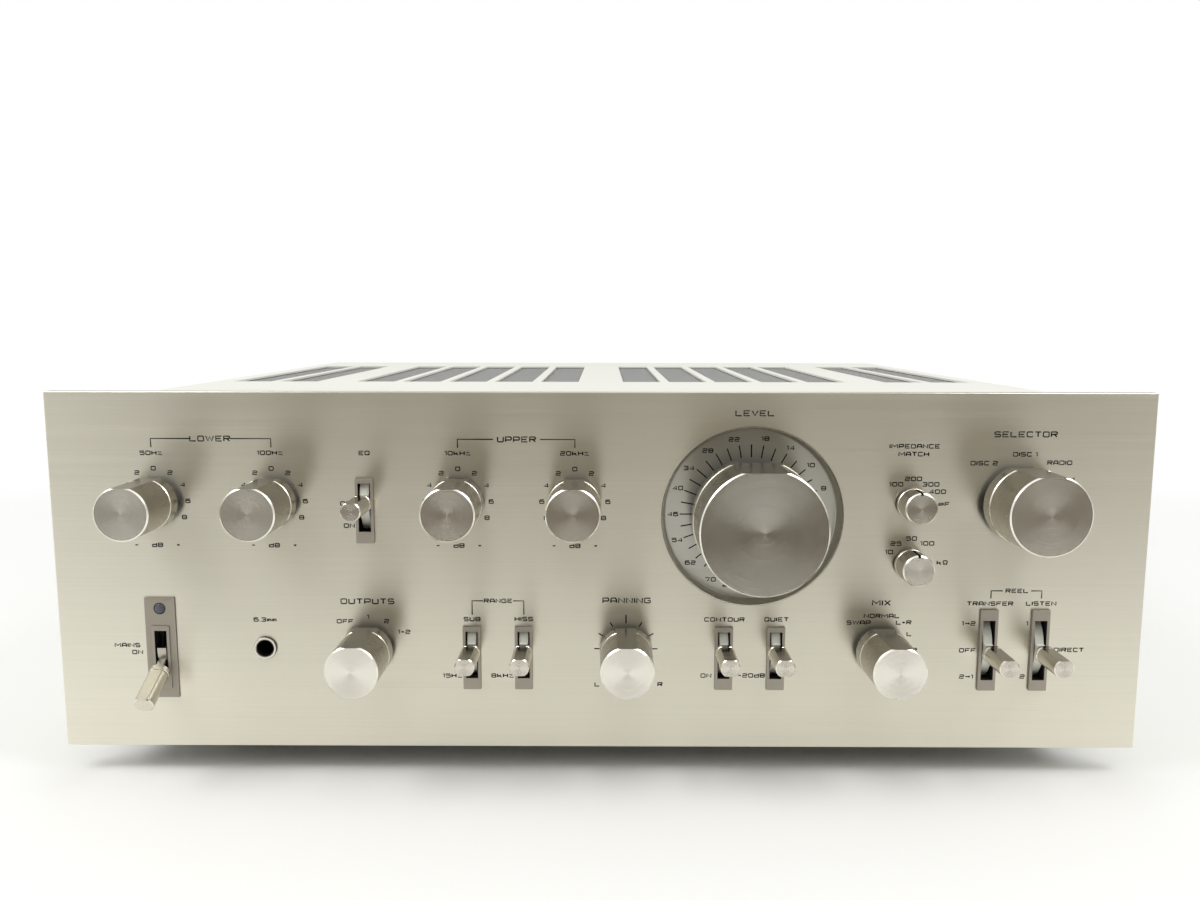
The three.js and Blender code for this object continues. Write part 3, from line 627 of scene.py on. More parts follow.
# Painted, plated and moulded skins: how rough each is, its features in a metre, their depth,
# how far it is metal and how far its tone wanders
PAINT_CLOUD = 18
PAINTED = {
    "tone_shares": (0.4, 0.6), "rough_shares": (0.08, 0.12), "smoother": 0.1,
    "relief_shares": (1, 0),
}
PAINTS = {
    "hole_edge_painted_shade": (0.6, 2200, 0.02 * MM, 0, 0.05),
    "bezel_face": (0.42, 2600, 0.006 * MM, 0.25, 0.04),
    "bezel_slot_painted_shade": (0.5, 2200, 0.02 * MM, 0, 0.05),
    "bezel_side_painted_shade": (0.4, 2600, 0.006 * MM, 0.25, 0.05),
    "socket_bore": (0.5, 2200, 0.02 * MM, 0, 0.05),
    "cover_paint": (0.5, 1800, 0.012 * MM, 0, 0.015),
    "pan_zinc": (0.4, 60, 0.002 * MM, 0.8, 0.12),
    "sub_panel_zinc": (0.42, 60, 0.002 * MM, 0.8, 0.1),
    "foot_rubber": (0.6, 1400, 0.03 * MM, 0, 0.2),
    "foot_plastic": (0.42, 2400, 0.01 * MM, 0, 0.05),
    "rear_paint": (0.45, 1500, 0.03 * MM, 0, 0.05),
    "terminal_plastic": (0.4, 1800, 0.01 * MM, 0, 0.05),
    "red_plastic": (0.35, 1800, 0.01 * MM, 0, 0.05),
    "pale_plastic": (0.4, 1800, 0.01 * MM, 0, 0.05),
    "strip_resin": (0.4, 900, 0.01 * MM, 0, 0.05),
    "gland_rubber": (0.6, 1400, 0.02 * MM, 0, 0.05),
    "can_zinc": (0.38, 80, 0.002 * MM, 0.85, 0.12),
    "board_resin": (0.4, 900, 0.01 * MM, 0, 0.05),
    "switch_plastic": (0.5, 2000, 0.01 * MM, 0, 0.05),
    "transformer_core": (0.45, 700, 0.02 * MM, 0.3, 0.05),
    "capacitor_sleeve": (0.3, 500, 0.004 * MM, 0, 0.05),
    "sink_anodised": (0.45, 2500, 0.006 * MM, 0.6, 0.05),
}


def painted_finish(name, colour):
    """A skin with a fine texture and a slight mottle."""
    roughness, grain, depth, metallic, mottle = PAINTS[name]
    finish = Finish(name, roughness, metallic)
    marks = finish.noise(grain, 3), finish.noise(PAINT_CLOUD, 4)
    return finish.worn(colour, (1 - mottle, 1 + mottle), marks, PAINTED, roughness, depth)


# Plain skins: how rough each is, how far that wanders, its features in a metre with their
# detail, and its darkest and lightest shades
PLAIN_SKINS = {
    "ink": (0.45, 0.2, 1500, 3, (0.75, 1.6)),
    "glass": (0.35, 0.1, 700, 2, (0.8, 1.25)),
    "floor": (0.45, 0.1, 3, 3, (0.985, 1.01)),
}
INK_SHINE = 0.15
FLOOR_INDEX = 1.2


def plain_finish(name, kind, colour, **constants):
    """A smooth skin whose tone and roughness wander a little."""
    roughness, wander, grain, detail, shades = PLAIN_SKINS[kind]
    finish = Finish(name, roughness, **constants)
    cloud = finish.noise(grain, detail)
    finish.set(
        Base_Color=finish.tinted(cloud, colour, shades), Roughness=cloud * wander + roughness,
    )
    return finish


# Perforated sheet: where a hole ends, as squares of shares of the pitch, and how it looks
MESH_ROUGHNESS = 0.6
MESH_ROUGH_SHARE = 0.2
MESH_SHINE = 0.2
MESH_WEAR = 90
MESH_SHADES = (0.9, 1.1)
MESH_HOLE_RANGE = (0.09, 0.12)
MESH_HOLE_SHARE = 0.85
MESH_ROW_SHARE = 0.75
MESH_DEPTH = 0.2 * MM


def mesh_finish(name, colour):
    """Perforated sheet: rows of round holes, each row half a hole along."""
    finish = Finish(name, MESH_ROUGHNESS, Specular_IOR_Level=MESH_SHINE)
    x, y, _ = finish.parts(finish.place())
    row = (y / MESH_ROW).stepped()
    along = x / MESH_PITCH + row / 2
    across_x = along - along.stepped() - 1 / 2
    across_y = y / MESH_ROW - row - 1 / 2
    spot = across_x * across_x + across_y * across_y * MESH_ROW_SHARE
    hole = finish.spread(spot, *MESH_HOLE_RANGE, 1, 0)
    wear = finish.noise(MESH_WEAR, 3)
    sheet = finish.tinted(wear, colour, MESH_SHADES)
    # The holes are drawn near-black: painted shade of the dark inside seen through them.
    finish.set(
        Base_Color=finish.mixed(hole * MESH_HOLE_SHARE, sheet, MESH_HOLE_PAINTED_SHADE),
        Roughness=wear * MESH_ROUGH_SHARE + MESH_ROUGHNESS,
        Normal=finish.bumped(1 - hole, MESH_DEPTH),
    )
    return finish.material


# Colours that no setting gives
# Near-black on the walls of the faceplate's holes: painted shade.
HOLE_EDGE_PAINTED_SHADE = (0.03, 0.028, 0.025)
# Near-black in the perforated sheet's holes: painted shade of the inside seen through them.
MESH_HOLE_PAINTED_SHADE = (0.01, 0.01, 0.01)
# Near-black on a knob's back, its shaft and the load knobs' groove: painted shade.
KNOB_PAINTED_SHADE = (0.05, 0.047, 0.043)
STEEL = (0.30, 0.30, 0.29)
ZINC = (0.42, 0.425, 0.42)
RESIN = (0.20, 0.12, 0.045)
BLACK = (0.02, 0.02, 0.021)
CORE = (0.035, 0.033, 0.032)
SLEEVE = (0.02, 0.035, 0.09)

TURNED_MAP = "turned"
BROAD_WIDTH = 1.6 * MM


def map_turned(mesh, centre):
    """A map that holds each corner's place from the middle of a turned piece."""
    layer = mesh.uv_layers.new(name=TURNED_MAP)
    for loop in mesh.loops:
        place = mesh.vertices[loop.vertex_index].co
        layer.data[loop.index].uv = (place.x - centre.x, place.z - centre.z)


def flatten_broad(mesh):
    """Flat shading for the broad faces, so that a rounded edge doesn't shade across them."""
    for face in mesh.polygons:
        if face.area > BROAD_WIDTH * BROAD_WIDTH:
            rim = sum(
                (mesh.vertices[start].co - mesh.vertices[end].co).length
                for start, end in face.edge_keys
            )
            face.use_smooth = 2 * face.area < BROAD_WIDTH * rim


def dress(name, shape, finishes, node=None, body=MAIN_BODY, centre=None):
    """A finished piece: its mesh in place, its finishes and the body that it rides on."""
    mesh = as_mesh(name, shape)
    if centre is not None:
        map_turned(mesh, centre)
    mesh.transform(Matrix.Translation(ORIGIN))
    for finish in finishes:
        mesh.materials.append(finish)
    mesh.shade_smooth()
    mesh.set_sharp_from_angle(angle=SHARP_ANGLE)
    flatten_broad(mesh)
    piece = linked(name, mesh)
    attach(piece, body)
    if node:
        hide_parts(node)


def coat(node, finish):
    """A finish for a node of the frame that stays as it is."""
    mesh = frame["nodes"][node].data
    mesh.materials.clear()
    mesh.materials.append(finish)


# Sizes and colours that a user would change


def length(name, description, default):
    return FloatProperty(
        name=name, description=description, default=default, min=0, precision=5, unit="LENGTH",
    )


def share(name, description, default):
    return FloatProperty(
        name=name, description=description, default=default, min=0, max=1, subtype="FACTOR",
    )


def colour(name, description, default):
    return FloatVectorProperty(
        name=name, description=description, default=default, size=3, min=0, max=1, subtype="COLOR",
    )


class PlateSettings(bpy.types.PropertyGroup):
    """The faceplate and what is printed on it."""

    metal: colour("Metal", "Colour of the brushed faceplate", (0.88, 0.848, 0.725))
    ink: colour("Ink", "Colour of the printed marks", (0.008, 0.007, 0.006))
    edge: length("Edge", "Rounding of the faceplate's edges", 0.3 * MM)
    title_height: length("Title height", "Height of a title's capitals", 2.4 * MM)
    label_height: length("Label height", "Height of a label's capitals", 1.88 * MM)
    roughness: share("Roughness", "Roughness of the brushed metal", 0.34)
    brushing: share("Brushing", "How far the brushing draws reflections out", 0.9)
    dial_metal: colour("Dial", "Colour of the volume dial's floor", (0.74, 0.73, 0.67))
    # The dial's wall is a darker copy of its metal: painted shade in the recess.
    dial_wall: colour("Dial wall", "Colour of the volume dial's wall", (0.58, 0.56, 0.48))


class KnobSettings(bpy.types.PropertyGroup):
    """The turned knobs."""

    metal: colour("Metal", "Colour of the knobs' metal", (0.81, 0.78, 0.70))
    # A knob's side is darker than its face: painted reflection of the plate.
    side: colour("Side", "Colour of a knob's side", (0.42, 0.39, 0.335))
    chamfer: length("Chamfer", "Width of the bright edge round a knob's face", 0.5 * MM)
    flat: share("Flat", "Height of the flat above the middle, as a share of the radius", 0.93)
    skirt_step: share("Skirt step", "How far a skirt stands out, as a share of the radius", 0.022)
    face_roughness: share("Face roughness", "Roughness of a knob's face", 0.22)
    side_roughness: share("Side roughness", "Roughness of a knob's side", 0.28)


class LeverSettings(bpy.types.PropertyGroup):
    """The bat levers, their bezels and the pilot lamp."""

    metal: colour("Metal", "Colour of the levers' metal", (0.60, 0.57, 0.50))
    drum: colour("Drum", "Colour of the drum that shows in a slot", (0.82, 0.825, 0.75))
    bezel: colour("Bezel", "Colour of the bezels", (0.40, 0.362, 0.305))
    # Near-black: painted shade inside the bezels' slots; the headphone socket's bore takes it too.
    slot: colour("Slot", "Colour inside the bezels", (0.012, 0.011, 0.010))
    lens: colour("Lens", "Colour of the pilot lamp's lens", (0.095, 0.10, 0.122))
    edge: length("Bezel edge", "Rounding of the bezels' edges", 0.12 * MM)


class CaseSettings(bpy.types.PropertyGroup):
    """The cover, the pan, the feet and the rear panel."""

    cover: colour("Cover", "Colour of the painted cover", (0.80, 0.80, 0.745))
    mesh: colour("Mesh", "Colour of the mesh under the vents", (0.43, 0.43, 0.42))
    pan: colour("Pan", "Colour of the chassis pan", (0.42, 0.425, 0.42))
    rear: colour("Rear panel", "Colour of the rear panel", (0.055, 0.055, 0.058))
    rubber: colour("Rubber", "Colour of the feet", (0.028, 0.027, 0.026))
    screw: length("Screw radius", "Radius of a screw's head", 3.3 * MM)
    nickel: colour("Nickel", "Colour of the sockets and screws", (0.60, 0.59, 0.56))
    red: colour("Red", "Colour of the red rings and caps", (0.42, 0.02, 0.015))
    pale: colour("Pale", "Colour of the pale rings", (0.72, 0.71, 0.67))
    rear_ink: colour("Rear ink", "Colour of the marks on the rear panel", (0.55, 0.55, 0.53))


class StudioSettings(bpy.types.PropertyGroup):
    """The floor, the light and the camera."""

    floor: colour("Floor", "Colour of the floor", (0.88, 0.88, 0.87))
    lens: FloatProperty(name="Lens", description="Focal length in millimetres", default=29.558, min=1)
    camera_x: FloatProperty(
        name="Camera across", description="Camera's distance to the right of the middle",
        default=1.537 * MM, precision=5, unit="LENGTH",
    )
    camera_back: length("Camera distance", "Camera's distance in front of the faceplate", 370.126 * MM)
    camera_up: length("Camera height", "Camera's height above the faceplate's foot", 166.311 * MM)
    lamp: FloatProperty(
        name="Lamp", description="Power of each of the two soft lamps", default=5.8, min=0,
        unit="POWER",
    )


SETTINGS = {
    "amplifier_plate": PlateSettings,
    "amplifier_knobs": KnobSettings,
    "amplifier_levers": LeverSettings,
    "amplifier_case": CaseSettings,
    "amplifier_studio": StudioSettings,
}

# Studio

CAMERA_YAW = math.radians(0.220)
CAMERA_PITCH = math.radians(7.4477)
CAMERA_ROLL = math.radians(0.0883)
SENSOR_WIDTH = 36
FLOOR_FRONT = -0.45
FLOOR_BACK = 3.0
FLOOR_HALF = 2.2
FLOOR_RANGE = (0.30, 0.80)
LAMP_PLACE = (0.90, -0.40, 1)
LAMP_TARGET = (0, -0.25, 0)
LAMP_SIZE = (0.6, 0.6)

# Colours of the surroundings
DARK_SIDE = (0.175, 0.153, 0.118)
PLAIN_SIDE = (0.45, 0.45, 0.44)
LIGHT_SIDE = (0.80, 0.80, 0.78)
CEILING = (0.95, 0.95, 0.93)
WHITE = (1, 1, 1)
RIGHT_LOSS_SHARE = 0.25
MIDDLE_LEFT_SHARE = 0.4

# Where each part of them begins and where it is full, on a look of length one: the sides,
# what is in front of the object, the middle of that, its foot, its top and the ceiling
SIDES_RANGE = (0.40, 0.90)
FRONT_RANGE = (-0.35, -0.75)
MIDDLE_RANGE = (0.35, 0.65)
LOW_RANGE = (0.28, 0.60)
HIGH_RANGE = (-0.70, -0.40)
CEILING_RANGE = (0.45, 0.80)


def seen_directly(finish):
    """One where the camera, a reflection or a view through glass looks, and otherwise nought."""
    path = finish.node("ShaderNodeLightPath", {}, {})
    kinds = ("Camera", "Glossy", "Transmission")
    camera, glossy, through = (Value(finish, path.outputs[f"Is {kind} Ray"]) for kind in kinds)
    return camera + glossy + through


def lamp(side, power):
    """A soft lamp above the object and to one side of it."""
    light = bpy.data.lights.new("lamp", "AREA")
    light.shape = "RECTANGLE"
    light.size, light.size_y = LAMP_SIZE
    light.energy = power
    thing = linked("lamp", light)
    place = Vector((side * LAMP_PLACE[0], *LAMP_PLACE[1:]))
    thing.location = place
    thing.rotation_euler = (Vector(LAMP_TARGET) - place).to_track_quat("-Z", "Y").to_euler()


class StudioWorld(Finish):
    """The studio round the object: lighter at the sides and dark behind the camera."""

    def __init__(self, world):
        world.use_nodes = True
        self.tree = world.node_tree
        self.tree.nodes.clear()
        place = self.node("ShaderNodeTexCoord", {}, {}).outputs["Generated"]
        across, back, up = self.parts(place)
        outwards = across.distance() - across * RIGHT_LOSS_SHARE
        sides = self.spread(outwards, *SIDES_RANGE)
        front = self.spread(back, *FRONT_RANGE)
        middle = self.spread(outwards, *MIDDLE_RANGE, 1, MIDDLE_LEFT_SHARE)
        low = self.spread(up, *LOW_RANGE, 1, 0)
        high = self.spread(up, *HIGH_RANGE)
        round_about = self.mixed(sides, PLAIN_SIDE, LIGHT_SIDE)
        round_about = self.mixed(self.spread(up, *CEILING_RANGE), round_about, CEILING)
        studio = self.mixed(front * middle * low * high, round_about, DARK_SIDE)
        path = self.node("ShaderNodeLightPath", {}, {})
        shown = self.mixed(path.outputs["Is Camera Ray"], studio, WHITE)
        ground = self.node("ShaderNodeBackground", {}, {"Color": shown, "Strength": 1.0})
        self.node("ShaderNodeOutputWorld", {}, {"Surface": ground.outputs[0]})


class AMPLIFIER_OT_stage(bpy.types.Operator):
    """Make the floor, the light and the camera"""

    bl_idname = "amplifier.stage"
    bl_label = "Stage"

    def execute(self, context):
        settings = context.scene.amplifier_studio
        scene = context.scene
        scene.view_settings.view_transform = "Standard"
        scene.world = bpy.data.worlds.new("studio")
        StudioWorld(scene.world)

        finish = plain_finish("floor", "floor", settings.floor, IOR=FLOOR_INDEX)
        glow = finish.node("ShaderNodeEmission", {}, {"Color": WHITE, "Strength": 1.0})
        across, back, _ = finish.parts(finish.place())
        far = finish.spread((across * across + back * back).root(), *FLOOR_RANGE)
        blend = finish.node(
            "ShaderNodeMixShader", {},
            {0: seen_directly(finish) * far, 1: finish.shader.outputs[0], 2: glow.outputs[0]},
        )
        finish.feed(finish.output.inputs["Surface"], blend.outputs[0])
        shape = bmesh.new()
        bmesh.ops.create_grid(shape, x_segments=1, y_segments=1, size=1)
        bmesh.ops.scale(
            shape, vec=(FLOOR_HALF, (FLOOR_BACK - FLOOR_FRONT) / 2, 1), verts=shape.verts,
        )
        moved(shape, (0, (FLOOR_BACK + FLOOR_FRONT) / 2, 0))
        mesh = as_mesh("floor", shape)
        mesh.materials.append(finish.material)
        floor = linked("floor", mesh)

        for side in (-1, 1):
            lamp(side, settings.lamp)

        view = bpy.data.cameras.new("camera")
        view.lens = settings.lens
        view.sensor_width = SENSOR_WIDTH
        camera = linked("camera", view)
        camera.location = ORIGIN + Vector(
            (settings.camera_x, -settings.camera_back, settings.camera_up),
        )
        camera.rotation_euler = (
            Matrix.Rotation(CAMERA_YAW, 3, "Z")
            @ Matrix.Rotation(math.pi / 2 - CAMERA_PITCH, 3, "X")
            @ Matrix.Rotation(CAMERA_ROLL, 3, "Z")
        ).to_euler()
        scene.camera = camera
        return {"FINISHED"}


# Faceplate


def slot_box(lever, margin, front, back):
    """The upright slot of a lever, from a little in front of the plate to a little behind."""
    centre = pivot_of(f"{lever}_lever")
    tape = lever in TAPE_LEVERS
    above, below = (TAPE_SLOT_HALF, TAPE_SLOT_HALF) if tape else (SLOT_ABOVE, SLOT_BELOW)
    half = SLOT_WIDTH / 2 + margin
    return block(
        (centre.x - half, front - OVERRUN, centre.z - below - margin),
        (centre.x + half, back + OVERRUN, centre.z + above + margin), 1,
    )


def round_hole(centre, radius, sides=SMALL_SIDES, finish=1):
    return facing(rod(radius, -OVERRUN, PLATE_THICK + OVERRUN, finish, sides), centre)


STUD_COLUMN_SHARES = (-0.93, 0, 0.93)
STUD_ROW_SHARES = (0.07, 0.93)


class AMPLIFIER_OT_faceplate(bpy.types.Operator):
    """Make the brushed faceplate with its openings and studs"""

    bl_idname = "amplifier.faceplate"
    bl_label = "Faceplate"

    def execute(self, context):
        settings = context.scene.amplifier_plate
        plate = block(
            (-PLATE_HALF, 0, 0), (PLATE_HALF, PLATE_THICK, PLATE_HEIGHT), 0,
            settings.edge, EDGE_STEPS,
        )
        holes = [slot_box(lever, WINDOW_MARGIN, 0, PLATE_THICK) for lever in LEVERS]
        for knob in (*TONE_KNOBS, *LOWER_KNOBS, "source_knob"):
            holes.append(round_hole(pivot_of(knob), BUSH_HOLE))
        for knob in LOAD_KNOBS:
            holes.append(round_hole(pivot_of(knob), LOAD_BUSH_HOLE))
        holes.append(round_hole(pivot_of("volume_knob"), DIAL_OPENING, FINE_SIDES, 0))
        holes.append(round_hole(middle_of("phones_jack"), JACK_HOLE))
        holes.append(round_hole(middle_of("lamp_lens"), LENS_HOLE))
        plate = carved(plate, merged(holes))
        rear_half = box_of("rear_panel")[1].x
        stud_back = box_of("front_panel")[1].y
        studs = []
        for column in STUD_COLUMN_SHARES:
            for row in STUD_ROW_SHARES:
                stud = rod(STUD_RADIUS, PLATE_THICK - OVERRUN, stud_back, 0, SMALL_SIDES)
                studs.append(moved(stud, (column * rear_half, 0, row * PLATE_HEIGHT)))
        plate = joined(plate, merged(studs))
        metal = brushed_finish("brushed_plate", settings.metal, settings)
        # The holes' walls are near-black: painted shade.
        inside = painted_finish("hole_edge_painted_shade", HOLE_EDGE_PAINTED_SHADE)
        dress("faceplate", plate, [metal, inside], "front_panel")
        return {"FINISHED"}


# Printed marks in millimetres: words and their middles
TITLES = (
    ("LOWER", -147.8, 122), ("UPPER", -31.5, 121.9), ("OUTPUTS", -89.8, 58.7),
    ("PANNING", 10.5, 59.3), ("MIX", 108.9, 58.6), ("SELECTOR", 160.9, 124.2),
    ("LEVEL", 58.5, 132),
)
LABELS = (
    ("50Hz", -170.4, 116.5), ("100Hz", -125.2, 116.6), ("EQ", -89.4, 116.6),
    ("10kHz", -53.9, 116.6), ("20kHz", -9.5, 116.6), ("RANGE", -39.2, 59),
    ("SUB", -49.4, 51.7), ("HISS", -29.3, 51.8), ("15Hz", -57.4, 28.9), ("8kHz", -37.8, 29),
    ("MAINS", -183.9, 40.9), ("ON", -180.1, 38.1), ("6.3mm", -129.8, 51.3),
    ("OFF", -98.7, 50.7), ("1", -89.8, 52.5), ("2", -82.6, 50.8), ("1+2", -75.9, 46.5),
    ("L", -0.9, 25.5), ("R", 23.7, 25.6), ("CONTOUR", 48.4, 51.8), ("QUIET", 68.6, 51.9),
    ("ON", 41.6, 29.2), ("-20dB", 59.3, 29.3), ("SWAP", 100.4, 50.7), ("NORMAL", 109.2, 53.4),
    ("L+R", 117.8, 50.8), ("L", 120.1, 46.2), ("R", 122.4, 39.8), ("REEL", 160.9, 63.5),
    ("TRANSFER", 150.8, 58.4), ("LISTEN", 170.5, 58.5), ("1→2", 142.9, 50.5),
    ("OFF", 143, 39.7), ("2→1", 143, 29.1), ("1", 165.5, 50.6), ("2", 164.8, 29.2),
    ("DIRECT", 182.3, 40), ("IMPEDANCE", 119.2, 119.6), ("MATCH", 118.9, 116.6),
    ("100", 112.7, 105), ("200", 119.2, 107.1), ("300", 125.9, 105), ("400", 128.5, 102.2),
    ("pF", 131.3, 97.4), ("10", 111, 78.7), ("25", 113.6, 82), ("50", 119.4, 84),
    ("100", 125.5, 82.1), ("kΩ", 131.6, 74.6), ("DISC 2", 145.7, 113.2),
    ("DISC 1", 161.1, 116.6), ("RADIO", 174.3, 113.4), ("4", 179.5, 107),
)
# Each bracket's two sides, its foot, its top and the gap in its top
BRACKETS = (
    (-170.3, -124.7, 118.7, 122, -155.5, -140.1),
    (-53.9, -9.4, 118.7, 121.9, -40.4, -22.6),
    (-49.3, -29.3, 53.5, 59, -45, -33.4),
    (151, 170.5, 60.5, 63.5, 155.4, 166.4),
)
TONE_STEPS = (8, 6, 4, 2, 0, 2, 4, 6, 8)
TONE_SCALE_RADIUS = 12.6 * MM
TONE_SCALE_STEP = 30
TICK_INNER = 10.2 * MM
TICK_OUTER = 12.3 * MM
TICK_MIDDLE_OUTER = 13.6 * MM
BALANCE_TICKS = (-90, -60, -30, 0, 30, 60, 90)
DECIBEL_DROP = 17.2 * MM
DECIBEL_SPREAD = 8 * MM
TONE_SWITCH_WORDS = (("OFF", -6.2, -0.9), ("ON", -6.2, -9.5))
DIAL_NUMBERS = (
    ("8", 70), ("10", 50), ("14", 30), ("18", 10), ("22", -13), ("28", -34), ("34", -53),
    ("40", -70), ("46", -90), ("54", -110), ("62", -130), ("70", -150), ("∞", -162),
)
DIAL_NUMBER_RADIUS = 30 * MM
DIAL_TICK_INNER = 22.3 * MM
DIAL_TICK_OUTER = 27.3 * MM
DIAL_TICK_STEP = 10
DIAL_TICK_FIRST = -160
DIAL_TICK_LAST = 150


def around(centre, radius, degrees):
    """The place at a distance from a middle, so many degrees clockwise from the top."""
    angle = math.radians(degrees)
    return centre.x + radius * math.sin(angle), centre.z + radius * math.cos(angle)


def tick(centre, degrees, *radii):
    return [([around(centre, radius, degrees) for radius in radii], TITLE_LINE)]


class AMPLIFIER_OT_lettering(bpy.types.Operator):
    """Print the scales, numbers and words on the faceplate and in the volume dial"""

    bl_idname = "amplifier.lettering"
    bl_label = "Lettering"

    def execute(self, context):
        settings = context.scene.amplifier_plate
        small = settings.label_height
        marks = []
        for words, x, z in TITLES:
            marks += lettering(words, x * MM, z * MM, settings.title_height, TITLE_LINE)
        for words, x, z in LABELS:
            marks += lettering(words, x * MM, z * MM, small)
        for places in BRACKETS:
            left, right, low, high, gap_left, gap_right = (place * MM for place in places)
            marks += [
                ([(left, low), (left, high), (gap_left, high)], INK_LINE),
                ([(gap_right, high), (right, high), (right, low)], INK_LINE),
            ]
        for knob in TONE_KNOBS:
            centre = pivot_of(knob)
            for index, step in enumerate(TONE_STEPS):
                degrees = (index - len(TONE_STEPS) // 2) * TONE_SCALE_STEP
                marks += lettering(str(step), *around(centre, TONE_SCALE_RADIUS, degrees), small)
            for words, offset in (("-", -1), ("dB", 0), ("+", 1)):
                x = centre.x + offset * DECIBEL_SPREAD
                marks += lettering(words, x, centre.z - DECIBEL_DROP, small)
        for degrees in BALANCE_TICKS:
            outer = TICK_OUTER if degrees else TICK_MIDDLE_OUTER
            marks += tick(pivot_of("balance_knob"), degrees, TICK_INNER, outer)
        tone = pivot_of("tone_lever")
        for words, x, z in TONE_SWITCH_WORDS:
            marks += lettering(words, tone.x + x * MM, tone.z + z * MM, small)
        ink = plain_finish("plate_ink", "ink", settings.ink, Specular_IOR_Level=INK_SHINE).material
        dress("plate_lettering", printed(marks), [ink])

        dial = pivot_of("volume_knob")
        marks = []
        for degrees in range(DIAL_TICK_FIRST, DIAL_TICK_LAST + 1, DIAL_TICK_STEP):
            marks += tick(dial, degrees, DIAL_TICK_INNER, DIAL_TICK_OUTER)
        for words, degrees in DIAL_NUMBERS:
            marks += lettering(words, *around(dial, DIAL_NUMBER_RADIUS, degrees), small)
        dress("dial_lettering", printed(marks, DIAL_DEPTH), [ink])
        return {"FINISHED"}


class AMPLIFIER_OT_dial(bpy.types.Operator):
    """Make the recessed dish behind the volume knob"""

    bl_idname = "amplifier.dial"
    bl_label = "Volume dial"

    def execute(self, context):
        settings = context.scene.amplifier_plate
        centre = pivot_of("volume_knob")
        low, high = box_of("volume_dial")
        rim = DIAL_OPENING - PLATE_SEAT
        flange = (high.x - low.x) / 2
        case_front = PLATE_THICK + WINDOW_MARGIN / 2
        profile = [
            (BUSH_HOLE, high.y), (BUSH_HOLE, DIAL_DEPTH), (DIAL_FLOOR_RADIUS - DIAL_LIP, DIAL_DEPTH),
            (DIAL_FLOOR_RADIUS, DIAL_DEPTH - DIAL_LIP / 2), (rim - DIAL_LIP, PLATE_SEAT + DIAL_LIP / 2),
            (rim - DIAL_LIP / 2, PLATE_SEAT), (rim, PLATE_SEAT), (rim, case_front),
            (flange, case_front), (flange, high.y), (BUSH_HOLE, high.y),
        ]
        dish = facing(spun(profile, [1, 0, 0, 1, 2, 2, 1, 1, 1, 1], FINE_SIDES), centre)
        # The wall is a darker copy of the dial's metal: painted shade in the recess.
        finishes = [
            brushed_finish("dial_floor", settings.dial_metal, settings),
            satin_finish("dial_wall", settings.dial_wall),
            satin_finish("dial_rim", settings.metal),
        ]
        dress("dial_dish", dish, finishes, "volume_dial", centre=centre)
        return {"FINISHED"}


# Knobs

KNOB_LIFT = 3.2 * MM
LOAD_LIFT = 1.4 * MM
SKIRT_LENGTH = 6.2 * MM
LOAD_SKIRT_LENGTH = 2 * MM
SHAFT_RADIUS = 3 * MM
LOAD_SHAFT_RADIUS = 1.6 * MM
LOAD_GROOVE = 1 * MM
SKIRT_BEVEL = 1.2 * MM
# Tints of the knob metal: a lighter one on the chamfers and the skirt's bevel, a painted highlight, and
# darker ones on the flats and on the volume knob's face, painted shade.
KNOB_RIM_PAINTED_HIGHLIGHT, KNOB_FLAT_PAINTED_SHADE, VOLUME_PAINTED_SHADE = 1.2, 0.5, 0.78
# Of these finishes the fourth is near-black, painted shade on a knob's back, shaft and groove.
FACE, RIM, SIDE, SHADE, FLAT = range(5)


def knob_shape(knob, settings):
    """A knob as it is turned, with its skirt, its shaft and its flat or groove."""
    small = knob in LOAD_KNOBS
    low, high = box_of(knob)
    skirt = (high.x - low.x) / 2
    radius = skirt / (1 + settings.skirt_step)
    front = low.y
    lift = LOAD_LIFT if small else KNOB_LIFT
    skirt_front = -lift - (LOAD_SKIRT_LENGTH if small else SKIRT_LENGTH)
    shaft = LOAD_SHAFT_RADIUS if small else SHAFT_RADIUS
    chamfer = settings.chamfer
    bevel = (skirt - radius) + SKIRT_BEVEL / 2
    profile = [
        (0, front), (radius - chamfer, front), (radius, front + chamfer),
        (radius, skirt_front), (skirt - SKIRT_BEVEL / 4, skirt_front),
        (skirt, skirt_front + bevel / 2), (skirt, -lift - chamfer / 2),
        (skirt - chamfer / 2, -lift), (shaft, -lift), (shaft, high.y), (0, high.y),
    ]
    # The back, the shaft and the back end take the near-black finish: painted shade.
    finishes = [FACE, RIM, SIDE, RIM, RIM, SIDE, SIDE, SHADE, SHADE, SHADE]
    shape = spun(profile, finishes, FINE_SIDES if radius > 2 * SHAFT_RADIUS else ROUND_SIDES)
    if small:
        # The groove takes the near-black finish: painted shade.
        groove = block(
            (-LOAD_GROOVE / 2, front - OVERRUN, radius - LOAD_GROOVE),
            (LOAD_GROOVE / 2, skirt_front, radius + OVERRUN), SHADE,
        )
        return carved(shape, groove)
    flat = block(
        (-skirt - OVERRUN, front - OVERRUN, radius * settings.flat),
        (skirt + OVERRUN, -lift + OVERRUN, skirt + OVERRUN), FLAT,
    )
    return carved(shape, flat)


